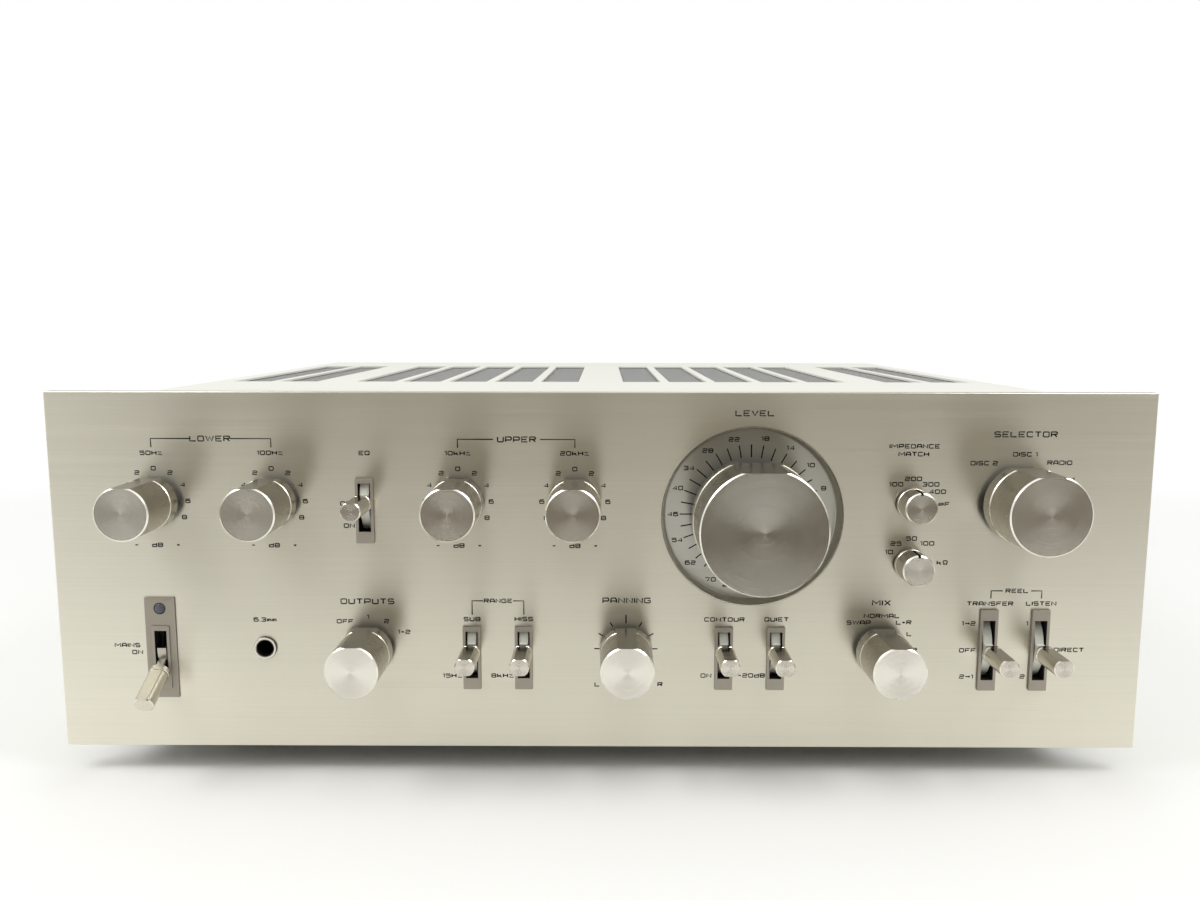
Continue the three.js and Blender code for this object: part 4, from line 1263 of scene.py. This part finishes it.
class AMPLIFIER_OT_knobs(bpy.types.Operator):
    """Make the turned knobs on their shafts"""

    bl_idname = "amplifier.knobs"
    bl_label = "Knobs"

    def execute(self, context):
        settings = context.scene.amplifier_knobs
        rough = settings.face_roughness
        metal = settings.metal
        # The rims take a painted highlight, the sides a painted reflection, and the near-black finish,
        # the flats and the volume knob's face painted shade.
        finishes = [
            lathed_finish("knob_face", metal, rough),
            satin_finish("knob_rim_painted_highlight", scaled(metal, KNOB_RIM_PAINTED_HIGHLIGHT)),
            satin_finish("knob_side_painted_reflection", settings.side, roughness=settings.side_roughness),
            satin_finish("knob_painted_shade", KNOB_PAINTED_SHADE),
            satin_finish("knob_flat_painted_shade", scaled(metal, KNOB_FLAT_PAINTED_SHADE)),
        ]
        volume_face_painted_shade = lathed_finish("volume_face_painted_shade", scaled(metal, VOLUME_PAINTED_SHADE), rough)
        for knob in (*TONE_KNOBS, *LOWER_KNOBS, *BIG_KNOBS, *LOAD_KNOBS):
            chosen = [volume_face_painted_shade, *finishes[1:]] if knob == "volume_knob" else finishes
            centre = pivot_of(knob)
            shape = facing(knob_shape(knob, settings), centre)
            dress(f"turned_{knob}", shape, chosen, knob, knob, centre)
        return {"FINISHED"}


# Levers

LEVER_PIVOT = 14 * MM
LEVER_REACH = 22 * MM
LEVER_TIP = LEVER_PIVOT + LEVER_REACH
POWER_TILT = 27
DRUM_RADIUS = 14.8 * MM
DRUM_WIDTH = 3.4 * MM
DRUM_TOP = 27
DRUM_BOTTOM = 50
TAPE_DRUM = 58
HUB_HALF = 3 * MM
PIN_RADIUS = 1.2 * MM
PIN_REACH = 1.7 * MM
NECK_WIDTH = 3.2 * MM
NECK_HEIGHT = 5.2 * MM
BAT_START = 18.4 * MM
BAT_RADIUS = 3.7 * MM
BAT_FLAT_SHARE = 0.83
BAT_FLAT_HEIGHT = BAT_RADIUS * BAT_FLAT_SHARE
BAT_CHAMFER = 0.4 * MM
ROOT_LENGTH = 2.4 * MM
GROOVE_WIDTH = 0.25 * MM
GROOVE_START = BAT_START + ROOT_LENGTH
GROOVE_END = GROOVE_START + GROOVE_WIDTH
GROOVE_DEPTH = 0.15 * MM
TAIL_REACH = 11 * MM
TAIL_HALF = 1 * MM
DRUM, BAT_SIDE, BAT_RIM, BAT_FACE, BAT_FLAT = range(5)
# Tints of the lever metal: the rims lighter, a painted highlight, and the bats' flats darker, painted
# shade; the end faces are lighter and the power lever's drum darker.
LEVER_RIM_PAINTED_HIGHLIGHT, LEVER_FACE_SHADE, LEVER_FLAT_PAINTED_SHADE, POWER_DRUM_SHADE = 1.4, 1.15, 0.7, 0.85
LEVER_FACE_ROUGHNESS = 0.26


def drum_shape(top, bottom):
    """The part of a disc that shows in the slot, from above level to below it."""
    disc = rod(DRUM_RADIUS, -DRUM_WIDTH / 2, DRUM_WIDTH / 2, DRUM, FINE_SIDES)
    turned(disc, QUARTER_TURN, "Z")
    for degrees, side in ((top, 1), (-bottom, -1)):
        angle = math.radians(degrees)
        outward = (0, side * math.sin(angle), side * math.cos(angle))
        sliced(disc, (0, 0, 0), outward, DRUM)
    return disc


def flatted(shape, height, finish):
    """The shape with a flat above and one below."""
    for side in (-1, 1):
        sliced(shape, (0, 0, side * height), (0, 0, side), finish)
    return shape


def bat_length(front, back, end):
    """A length of the bat with its edges taken off, and the finish of its front end."""
    edge = BAT_RADIUS - BAT_CHAMFER
    profile = [
        (0, back), (edge, back), (BAT_RADIUS, back - BAT_CHAMFER),
        (BAT_RADIUS, front + BAT_CHAMFER), (edge, front), (0, front),
    ]
    length = spun(profile, [BAT_SIDE, BAT_RIM, BAT_SIDE, BAT_RIM, end])
    return flatted(length, BAT_FLAT_HEIGHT, BAT_FLAT)


def bat_shape():
    """A level lever's bat, in two lengths with a groove between them."""
    waist = rod(BAT_RADIUS - GROOVE_DEPTH, -GROOVE_END - OVERRUN, -BAT_START - OVERRUN, DRUM)
    return joined(
        bat_length(-GROOVE_START, -BAT_START, BAT_SIDE),
        flatted(waist, BAT_FLAT_HEIGHT - GROOVE_DEPTH, DRUM),
        bat_length(-LEVER_TIP, -GROOVE_END, BAT_FACE),
    )


def lever_shape(lever):
    """A lever about its pivot, level: a drum on its pins, a neck, a flatted bat and a tail."""
    top, bottom = (TAPE_DRUM, TAPE_DRUM) if lever in TAPE_LEVERS else (DRUM_TOP, DRUM_BOTTOM)
    pin_end = DRUM_WIDTH / 2 + PIN_REACH
    pins = turned(rod(PIN_RADIUS, -pin_end, pin_end, DRUM, SCREW_SIDES), QUARTER_TURN, "Z")
    hub = block(
        (-DRUM_WIDTH / 2, -HUB_HALF, -HUB_HALF), (DRUM_WIDTH / 2, HUB_HALF, HUB_HALF), DRUM,
    )
    neck = block(
        (-NECK_WIDTH / 2, -BAT_START - OVERRUN, -NECK_HEIGHT / 2),
        (NECK_WIDTH / 2, -DRUM_RADIUS / 2, NECK_HEIGHT / 2), DRUM, BAT_CHAMFER,
    )
    tail = block((-TAIL_HALF, 0, -TAIL_HALF), (TAIL_HALF, TAIL_REACH, TAIL_HALF), DRUM)
    return joined(drum_shape(top, bottom), hub, pins, neck, tail, bat_shape())


class AMPLIFIER_OT_levers(bpy.types.Operator):
    """Make the bat levers"""

    bl_idname = "amplifier.levers"
    bl_label = "Levers"

    def execute(self, context):
        settings = context.scene.amplifier_levers
        metal = settings.metal
        # The rims take a painted highlight and the flats painted shade.
        finishes = [
            satin_finish("lever_drum", settings.drum, DRUM_GRAIN, 0),
            satin_finish("lever_side", metal, BAT_GRAIN),
            satin_finish("lever_rim_painted_highlight", scaled(metal, LEVER_RIM_PAINTED_HIGHLIGHT)),
            lathed_finish("lever_face", scaled(metal, LEVER_FACE_SHADE), LEVER_FACE_ROUGHNESS),
            satin_finish("lever_flat_painted_shade", scaled(metal, LEVER_FLAT_PAINTED_SHADE), BAT_GRAIN),
        ]
        plain_drum = satin_finish("power_drum", scaled(metal, POWER_DRUM_SHADE), DRUM_GRAIN)
        for lever in LEVERS:
            node = f"{lever}_lever"
            chosen = [plain_drum, *finishes[1:]] if lever == "power" else finishes
            centre = pivot_of(node)
            centre.y = LEVER_PIVOT
            shape = lever_shape(lever)
            if lever == "power":
                turned(shape, POWER_TILT, "X")
            dress(f"bat_{node}", moved(shape, centre), chosen, node, node, centre)
        return {"FINISHED"}


# Bezels, lamp and socket

BEZEL_WIDTH = 6.9 * MM
BEZEL_CORNER = 0.3 * MM
POWER_FRAME_RISE = 0.5 * MM
BEZEL_ABOVE = 8.9 * MM
BEZEL_BELOW = 16.2 * MM
BEZEL_FACE, BEZEL_SLOT, BEZEL_SIDE = range(3)
# The bezels' sides are a darker copy of their colour: painted shade.
BEZEL_SIDE_PAINTED_SHADE = 0.45
LENS_RISE = 0.8 * MM
# Shares of a lens's radius and rise, from its middle outwards
LENS_SHARES = ((0, 0), (0.35, 0.06), (0.65, 0.25), (0.88, 0.6), (1, 1))
JACK_BORE = 3.2 * MM
JACK_GROOVE = 3.7 * MM
JACK_RING = 4.4 * MM
JACK_LIP = 0.2 * MM
JACK_BARREL = 4.1 * MM
JACK_BODY = 9.3 * MM
JACK_DEPTH = 30 * MM


def bezel_plate(low, high, edge):
    """A flat piece that faces forwards, with round corners and a softened front edge."""
    shape = block(low, high)
    upright = [
        line for line in shape.edges
        if abs(line.verts[0].co.x - line.verts[1].co.x) < WELD
        and abs(line.verts[0].co.z - line.verts[1].co.z) < WELD
    ]
    bevelled(shape, upright, BEZEL_CORNER, CORNER_STEPS)
    front = [
        line for line in shape.edges
        if all(abs(vert.co.y - low[1]) < WELD for vert in line.verts)
    ]
    bevelled(shape, front, edge, EDGE_STEPS)
    painted(shape, BEZEL_FACE)
    shape.normal_update()
    # The sides take the darker finish: painted shade.
    for face in shape.faces:
        if abs(face.normal.y) < FLAT_ENOUGH:
            face.material_index = BEZEL_SIDE
    return shape


def power_bezel(centre, low, high, edge):
    """The power lever's taller bezel: a plate with a frame on it, bored for the lamp's lens."""
    plate = bezel_plate((low.x, low.y + POWER_FRAME_RISE, low.z), high, edge)
    ring = bezel_plate(
        (centre.x - BEZEL_WIDTH / 2, low.y, centre.z - BEZEL_BELOW),
        (centre.x + BEZEL_WIDTH / 2, high.y, centre.z + BEZEL_ABOVE), edge,
    )
    bore = rod(LENS_HOLE, low.y - OVERRUN, high.y + OVERRUN, BEZEL_SLOT, SMALL_SIDES)
    return carved(joined(plate, ring), facing(bore, middle_of("lamp_lens")))


class AMPLIFIER_OT_bezels(bpy.types.Operator):
    """Make the bezels round the levers and the pilot lamp's lens"""

    bl_idname = "amplifier.bezels"
    bl_label = "Bezels and lamp"

    def execute(self, context):
        settings = context.scene.amplifier_levers
        # The slots' insides are near-black and the sides darker: painted shade.
        finishes = [
            painted_finish("bezel_face", settings.bezel),
            painted_finish("bezel_slot_painted_shade", settings.slot),
            painted_finish("bezel_side_painted_shade", scaled(settings.bezel, BEZEL_SIDE_PAINTED_SHADE)),
        ]
        for lever in LEVERS:
            node = f"{lever}_bezel"
            low, high = box_of(node)
            if lever == "power":
                shape = power_bezel(pivot_of("power_lever"), low, high, settings.edge)
            else:
                shape = bezel_plate(low, high, settings.edge)
            shape = carved(shape, slot_box(lever, 0, low.y, high.y))
            dress(f"frame_{node}", shape, finishes, node)

        low, high = box_of("lamp_lens")
        radius = (high.x - low.x) / 2
        profile = [(radius * out, low.y + LENS_RISE * back) for out, back in LENS_SHARES]
        profile += [(radius, high.y), (0, high.y)]
        dome = spun(profile, 0, SMALL_SIDES)
        glass = plain_finish("lamp_lens", "glass", settings.lens).material
        dress("pilot_lens", facing(dome, middle_of("lamp_lens")), [glass], "lamp_lens")
        return {"FINISHED"}


class AMPLIFIER_OT_socket(bpy.types.Operator):
    """Make the headphone socket"""

    bl_idname = "amplifier.socket"
    bl_label = "Headphone socket"

    def execute(self, context):
        settings = context.scene.amplifier_knobs
        low, high = box_of("phones_jack")
        centre = middle_of("phones_jack")
        body = (high.x - low.x) / 2
        profile = [
            (0, JACK_DEPTH), (JACK_BORE, JACK_DEPTH), (JACK_BORE, low.y + JACK_LIP),
            (JACK_BORE + JACK_LIP, low.y + JACK_LIP), (JACK_GROOVE, low.y),
            (JACK_RING - JACK_LIP, low.y), (JACK_RING, low.y + JACK_LIP), (JACK_RING, -PLATE_SEAT),
            (JACK_BARREL, -PLATE_SEAT), (JACK_BARREL, JACK_BODY), (body, JACK_BODY),
            (body, high.y), (0, high.y),
        ]
        shape = facing(spun(profile, [1, 1, 1, 0, 2, 0, *[1] * 6]), centre)
        finishes = [
            satin_finish("socket_ring", settings.side),
            painted_finish("socket_bore", context.scene.amplifier_levers.slot),
            satin_finish("socket_rim", settings.metal),
        ]
        dress("headphone_socket", shape, finishes, "phones_jack")
        return {"FINISHED"}


# Case

# A screw's head: its rise, its outline in shares of its radius and rise, and its crossed slots
SCREW_RISE_SHARE = 0.4
SCREW_SHARES = ((0, 1), (0.45, 0.96), (0.8, 0.75), (0.97, 0.35), (1, 0), (1, -0.3), (0, -0.3))
SCREW_SLOT_SHARES = (0.55, 0.1)
SCREW_SLOT_DEPTH_SHARE = 0.3


def vent_places():
    for index in range(VENT_INNER_COUNT + VENT_OUTER_COUNT):
        outer = VENT_GROUP_GAP if index >= VENT_INNER_COUNT else 0
        near = VENT_MIDDLE_GAP / 2 + index * VENT_PITCH + outer
        for side in (-1, 1):
            yield sorted((side * near, side * (near + VENT_WIDTH)))


def screw(radius):
    """A pan-head screw that faces forwards, with a crossed recess, its seat at nought."""
    rise = radius * SCREW_RISE_SHARE
    profile = [(radius * out, -rise * forward) for out, forward in SCREW_SHARES]
    head = spun(profile, 0, SCREW_SIDES)
    long, short = (radius * share for share in SCREW_SLOT_SHARES)
    slots = [
        block((-x, -rise * 2, -z), (x, -rise * SCREW_SLOT_DEPTH_SHARE, z))
        for x, z in ((long, short), (short, long))
    ]
    return carved(head, *slots)


def arched(half, top, bottom, bend, front, back):
    """A block with its two long upper edges bent round."""
    shape = block((-half, front, bottom), (half, back, top))
    upper = [
        edge for edge in shape.edges
        if all(abs(vert.co.z - top) < WELD for vert in edge.verts)
        and abs(edge.verts[0].co.x - edge.verts[1].co.x) < WELD
    ]
    return bevelled(shape, upper, bend, BEND_STEPS)


class AMPLIFIER_OT_case(bpy.types.Operator):
    """Make the vented cover, its mesh and the pan"""

    bl_idname = "amplifier.case"
    bl_label = "Cover and pan"

    def execute(self, context):
        settings = context.scene.amplifier_case
        low, high = box_of("top_cover")
        shell = arched(high.x, high.z, low.z, COVER_BEND, low.y, high.y)
        hollow = arched(
            high.x - COVER_SHEET, high.z - COVER_SHEET, low.z - OVERRUN, COVER_BEND - COVER_SHEET,
            low.y - OVERRUN, high.y + OVERRUN,
        )
        vents = [
            block(
                (x0, VENT_START, high.z - 2 * OVERRUN),
                (x1, VENT_START + VENT_LENGTH, high.z + OVERRUN),
            )
            for x0, x1 in vent_places()
        ]
        shell = carved(shell, hollow, merged(vents))
        paint = painted_finish("cover_paint", settings.cover)
        dress("vented_cover", shell, [paint], "top_cover")
        coat("vent_mesh", mesh_finish("vent_mesh", settings.mesh))
        coat("chassis_pan", painted_finish("pan_zinc", settings.pan))
        coat("sub_panel", painted_finish("sub_panel_zinc", settings.pan))

        heads = []
        for side in (-1, 1):
            for place in SIDE_SCREWS:
                head = turned(screw(settings.screw), QUARTER_TURN * side, "Z")
                heads.append(moved(head, (side * high.x, place, low.z + SIDE_SCREW_RISE)))
        steel = satin_finish("case_screw", STEEL)
        dress("cover_screws", merged(heads), [steel])
        return {"FINISHED"}


# Feet: a rubber ring round a recess, under a flared plastic body

FEET = ("front_left_foot", "front_right_foot", "rear_left_foot", "rear_right_foot")
FOOT_RECESS = 5 * MM
FOOT_RECESS_DEPTH = 2.4 * MM
FOOT_RING = 15 * MM
FOOT_RING_CHAMFER = 0.5 * MM
FOOT_RING_HEIGHT = 1.5 * MM
FOOT_BODY = 19 * MM
FOOT_BODY_START = 3 * MM
FOOT_BODY_CHAMFER = 0.8 * MM
FOOT_FLARE = 0.6 * MM
FOOT_SHOULDER = 1.5 * MM
FOOT_PLASTIC_SHADE = 1.4


class AMPLIFIER_OT_feet(bpy.types.Operator):
    """Make the four feet"""

    bl_idname = "amplifier.feet"
    bl_label = "Feet"

    def execute(self, context):
        settings = context.scene.amplifier_case
        rubber = painted_finish("foot_rubber", settings.rubber)
        plastic = painted_finish("foot_plastic", scaled(settings.rubber, FOOT_PLASTIC_SHADE))
        for node in FEET:
            low, high = box_of(node)
            centre = middle_of(node)
            top = (high.x - low.x) / 2
            rise = high.z - low.z
            profile = [
                (0, FOOT_RECESS_DEPTH), (FOOT_RECESS, FOOT_RECESS_DEPTH), (FOOT_RECESS, 0),
                (FOOT_RING - FOOT_RING_CHAMFER, 0), (FOOT_RING, FOOT_RING_CHAMFER),
                (FOOT_RING, FOOT_RING_HEIGHT),
                (FOOT_BODY - FOOT_BODY_CHAMFER, FOOT_BODY_START - FOOT_BODY_CHAMFER),
                (FOOT_BODY, FOOT_BODY_START), (top - FOOT_FLARE, rise - FOOT_SHOULDER),
                (top, rise - FOOT_BODY_CHAMFER), (top, rise), (0, rise),
            ]
            shape = turned(spun(profile, [0] * 5 + [1] * 6), QUARTER_TURN, "X")
            moved(shape, (centre.x, centre.y, low.z))
            dress(f"turned_{node}", shape, [rubber, plastic], node)
        return {"FINISHED"}


# Rear

REAR_FACE = box_of("rear_panel")[1].y
SOCKET_COLUMNS = 8
SOCKET_ROW_GAP = 20 * MM
SOCKET_RADIUS = 4.2 * MM
SOCKET_WALL = 0.8 * MM
SOCKET_RING = 3.1 * MM
SOCKET_PIN = 1.6 * MM
SOCKET_COLLAR = 5.7 * MM
SOCKET_COLLAR_THICK = 1.4 * MM
STRIP_THICK = 1.6 * MM
TERMINAL_COLUMNS = 4
TERMINAL_ROW_GAP = 24 * MM
TERMINAL_RADIUS = 5 * MM
TERMINAL_CAP = 9 * MM
TERMINAL_STEM = 3 * MM
TERMINAL_BASE = 6.5 * MM
TERMINAL_BASE_THICK = 2.2 * MM
TERMINAL_DIMPLE = 0.6 * MM
FLUTE_COUNT = 16
FLUTE_RADIUS = 0.6 * MM
GLAND_BORE = 3.4 * MM
GLAND_NECK = 6 * MM
GLAND_HEAD = 8 * MM
GLAND_TIP = 5.4 * MM
GLAND_HEAD_THICK = 3 * MM
GLAND_RIBS = 4
GLAND_GROOVE = 0.8 * MM
SMALL_CHAMFER = 0.3 * MM
REAR_SCREW_SHARES = (-0.96, -0.32, 0.32, 0.96)
REAR_SCREW_INSET = 7 * MM
REAR_FRAME_MARGIN = 2 * MM
REAR_WORD_GAP = 3.4 * MM
TERMINAL_SHADE = 0.5
METAL, PALE_RING, RED_RING, DARK, STRIP = range(5)


def rear_places(node, columns, row_gap):
    """The column, the row and the middle of each socket or terminal of a node."""
    low, high = box_of(node)
    pitch = (high.x - low.x) / columns
    middle = (low.z + high.z) / 2
    return [
        (column, row, (high.x - (column + 1 / 2) * pitch, 0, middle + row * row_gap / 2))
        for column in range(columns)
        for row in (-1, 1)
    ]


def pin_socket(strip, tip, ring):
    """A pin socket: a barrel with a collar round a plastic ring, open for the plug's pin."""
    lip = SMALL_CHAMFER
    inner = SOCKET_RADIUS - SOCKET_WALL
    collar = REAR_FACE + SOCKET_COLLAR_THICK
    profile = [
        (0, collar), (SOCKET_PIN, collar), (SOCKET_PIN, tip - lip), (SOCKET_PIN + lip, tip),
        (SOCKET_RING, tip), (SOCKET_RING, tip - 2 * lip), (inner, tip - 2 * lip), (inner, tip),
        (SOCKET_RADIUS - lip, tip), (SOCKET_RADIUS, tip - lip), (SOCKET_RADIUS, collar),
        (SOCKET_COLLAR - lip, collar), (SOCKET_COLLAR, collar - lip), (SOCKET_COLLAR, REAR_FACE),
        (SOCKET_RADIUS, REAR_FACE), (SOCKET_RADIUS, strip), (0, strip),
    ]
    finishes = [DARK, DARK, ring, ring, ring, DARK, *[METAL] * 10]
    return spun(profile, finishes, SMALL_SIDES)


def terminal_cap(tip, finish):
    """A screw terminal's fluted cap."""
    edge = SMALL_CHAMFER
    profile = [
        (0, tip - TERMINAL_DIMPLE), (TERMINAL_STEM, tip - TERMINAL_DIMPLE), (TERMINAL_STEM, tip),
        (TERMINAL_RADIUS - edge, tip), (TERMINAL_RADIUS, tip - edge),
        (TERMINAL_RADIUS, tip - TERMINAL_CAP), (0, tip - TERMINAL_CAP),
    ]
    cap = spun(profile, finish)
    flutes = []
    for index in range(FLUTE_COUNT):
        flute = rod(FLUTE_RADIUS, tip - TERMINAL_CAP - OVERRUN, tip + OVERRUN, finish, FLUTE_SIDES)
        moved(flute, (TERMINAL_RADIUS + FLUTE_RADIUS / 3, 0, 0))
        flutes.append(turned(flute, index * FULL_TURN / FLUTE_COUNT, "Y"))
    return carved(cap, merged(flutes))


def terminal_base(strip, tip):
    """A screw terminal's stem and its insulating base."""
    edge = SMALL_CHAMFER
    base = REAR_FACE + TERMINAL_BASE_THICK
    profile = [
        (0, tip - TERMINAL_CAP), (TERMINAL_STEM, tip - TERMINAL_CAP), (TERMINAL_STEM, base),
        (TERMINAL_BASE - edge, base), (TERMINAL_BASE, base - edge), (TERMINAL_BASE, REAR_FACE),
        (TERMINAL_RADIUS, REAR_FACE), (TERMINAL_RADIUS, strip), (0, strip),
    ]
    return spun(profile, [METAL, METAL, *[DARK] * 6], SMALL_SIDES)


def gland_shape(inside, tip):
    """The cord's gland: a bored and ribbed sleeve on a head."""
    head = REAR_FACE + GLAND_HEAD_THICK
    profile = [
        (0, REAR_FACE), (GLAND_BORE, REAR_FACE), (GLAND_BORE, tip), (GLAND_TIP - SMALL_CHAMFER, tip),
    ]
    rib = (tip - head) / GLAND_RIBS
    for index in range(GLAND_RIBS):
        radius = GLAND_TIP + (GLAND_NECK + GLAND_GROOVE - GLAND_TIP) * index / GLAND_RIBS
        start = tip - index * rib
        profile += [
            (radius, start - SMALL_CHAMFER), (radius, start - rib / 2),
            (radius - GLAND_GROOVE, start - rib / 2 - SMALL_CHAMFER),
            (radius - GLAND_GROOVE, start - rib),
        ]
    profile += [
        (GLAND_HEAD - SMALL_CHAMFER, head), (GLAND_HEAD, head - SMALL_CHAMFER),
        (GLAND_HEAD, REAR_FACE), (GLAND_NECK, REAR_FACE), (GLAND_NECK, inside), (0, inside),
    ]
    return spun(profile, 0, SMALL_SIDES)


def rear_marks(settings):
    """Numbers over the columns and signs by the rows, seen from behind."""
    small = settings.label_height
    marks = []
    for node, columns, signs in (
        ("input_sockets", SOCKET_COLUMNS, "RL"), ("speaker_terminals", TERMINAL_COLUMNS, "-+"),
    ):
        low, high = box_of(node)
        row_gap = SOCKET_ROW_GAP if node == "input_sockets" else TERMINAL_ROW_GAP
        left, right = -high.x - REAR_FRAME_MARGIN, -low.x + REAR_FRAME_MARGIN
        foot, top = low.z - REAR_FRAME_MARGIN, high.z + REAR_FRAME_MARGIN
        corners = [(left, foot), (right, foot), (right, top), (left, top), (left, foot)]
        marks.append((corners, INK_LINE))
        for column, row, place in rear_places(node, columns, row_gap):
            if row > 0:
                marks += lettering(str(column + 1), -place[0], top + REAR_WORD_GAP, small)
            if column == 0:
                sign = signs[row > 0]
                marks += lettering(sign, left - REAR_WORD_GAP, place[2], small)
    return marks


class AMPLIFIER_OT_rear(bpy.types.Operator):
    """Make the sockets, the screw terminals and the gland on the rear panel"""

    bl_idname = "amplifier.rear"
    bl_label = "Rear"

    def execute(self, context):
        settings = context.scene.amplifier_case
        coat("rear_panel", painted_finish("rear_paint", settings.rear))
        finishes = [
            satin_finish("socket_metal", settings.nickel),
            painted_finish("pale_plastic", settings.pale),
            painted_finish("red_plastic", settings.red),
            painted_finish("terminal_plastic", scaled(settings.rear, TERMINAL_SHADE)),
            painted_finish("strip_resin", RESIN),
        ]

        low, high = box_of("input_sockets")
        sockets = [block(low, (high.x, low.y + STRIP_THICK, high.z), STRIP)]
        for _, row, place in rear_places("input_sockets", SOCKET_COLUMNS, SOCKET_ROW_GAP):
            ring = PALE_RING if row > 0 else RED_RING
            sockets.append(moved(pin_socket(low.y + STRIP_THICK / 2, high.y, ring), place))
        dress("pin_sockets", merged(sockets), finishes, "input_sockets")

        low, high = box_of("speaker_terminals")
        terminals = [block(low, (high.x, low.y + 2 * STRIP_THICK, high.z), DARK)]
        for _, row, place in rear_places("speaker_terminals", TERMINAL_COLUMNS, TERMINAL_ROW_GAP):
            cap = RED_RING if row > 0 else DARK
            terminals.append(moved(terminal_cap(high.y, cap), place))
            terminals.append(moved(terminal_base(low.y + STRIP_THICK, high.y), place))
        dress("screw_terminals", merged(terminals), finishes, "speaker_terminals")

        low, high = box_of("cord_gland")
        gland = facing(gland_shape(low.y, high.y), middle_of("cord_gland"))
        rubber = painted_finish("gland_rubber", settings.rubber)
        dress("ribbed_gland", gland, [rubber], "cord_gland")

        low, high = box_of("rear_panel")
        heads = []
        for column in REAR_SCREW_SHARES:
            for z in (low.z + REAR_SCREW_INSET, high.z - REAR_SCREW_INSET):
                head = turned(screw(settings.screw), HALF_TURN, "Z")
                heads.append(moved(head, (column * high.x, REAR_FACE, z)))
        steel = satin_finish("rear_screw", settings.nickel)
        dress("rear_screws", merged(heads), [steel])

        ink = plain_finish("rear_ink", "ink", settings.rear_ink, Specular_IOR_Level=INK_SHINE)
        marks = printed(rear_marks(context.scene.amplifier_plate), -REAR_FACE)
        dress("rear_lettering", turned(marks, HALF_TURN, "Z"), [ink.material])
        return {"FINISHED"}


# The pieces inside that share each finish
INSIDE = (
    ("can_zinc", ZINC, (
        "volume_control", "source_switch", "load_switches", "speakers_switch",
        "balance_control", "mode_switch",
    )),
    ("switch_plastic", BLACK, (
        "power_switch", "filter_switches", "loudness_switches", "tape_switches",
    )),
    ("board_resin", RESIN, ("tone_controls", "amplifier_board")),
    ("transformer_core", CORE, ("transformer",)),
    ("capacitor_sleeve", SLEEVE, ("left_capacitor", "right_capacitor")),
    ("sink_anodised", BLACK, ("left_heat_sink", "right_heat_sink")),
)


class AMPLIFIER_OT_inside(bpy.types.Operator):
    """Give the pieces inside the case their finishes"""

    bl_idname = "amplifier.inside"
    bl_label = "Inside"

    def execute(self, context):
        for name, colour_inside, nodes in INSIDE:
            finish = painted_finish(name, colour_inside)
            for node in nodes:
                coat(node, finish)
        return {"FINISHED"}


OPERATORS = (
    AMPLIFIER_OT_stage, AMPLIFIER_OT_faceplate, AMPLIFIER_OT_lettering, AMPLIFIER_OT_dial,
    AMPLIFIER_OT_knobs, AMPLIFIER_OT_levers, AMPLIFIER_OT_bezels, AMPLIFIER_OT_socket,
    AMPLIFIER_OT_case, AMPLIFIER_OT_feet, AMPLIFIER_OT_rear, AMPLIFIER_OT_inside,
)


class AMPLIFIER_PT_panel(bpy.types.Panel):
    """The amplifier's pieces and the sizes that they are made from"""

    bl_label = "Stereo amplifier"
    bl_space_type = "VIEW_3D"
    bl_region_type = "UI"
    bl_category = "Amplifier"

    def draw(self, context):
        for operator in OPERATORS:
            self.layout.operator(operator.bl_idname)
        for name, group in SETTINGS.items():
            box = self.layout.box()
            for setting in group.__annotations__:
                box.prop(getattr(context.scene, name), setting)


def register():
    for group in SETTINGS.values():
        bpy.utils.register_class(group)
    for operator in OPERATORS:
        bpy.utils.register_class(operator)
    bpy.utils.register_class(AMPLIFIER_PT_panel)
    for name, group in SETTINGS.items():
        setattr(bpy.types.Scene, name, PointerProperty(type=group))


def unregister():
    for name in SETTINGS:
        delattr(bpy.types.Scene, name)
    for item in (AMPLIFIER_PT_panel, *reversed(OPERATORS), *SETTINGS.values()):
        bpy.utils.unregister_class(item)


def main():
    register()
    for operator in OPERATORS:
        area, action = operator.bl_idname.split(".")
        getattr(getattr(bpy.ops, area), action)()


if __name__ == "__main__":
    main()
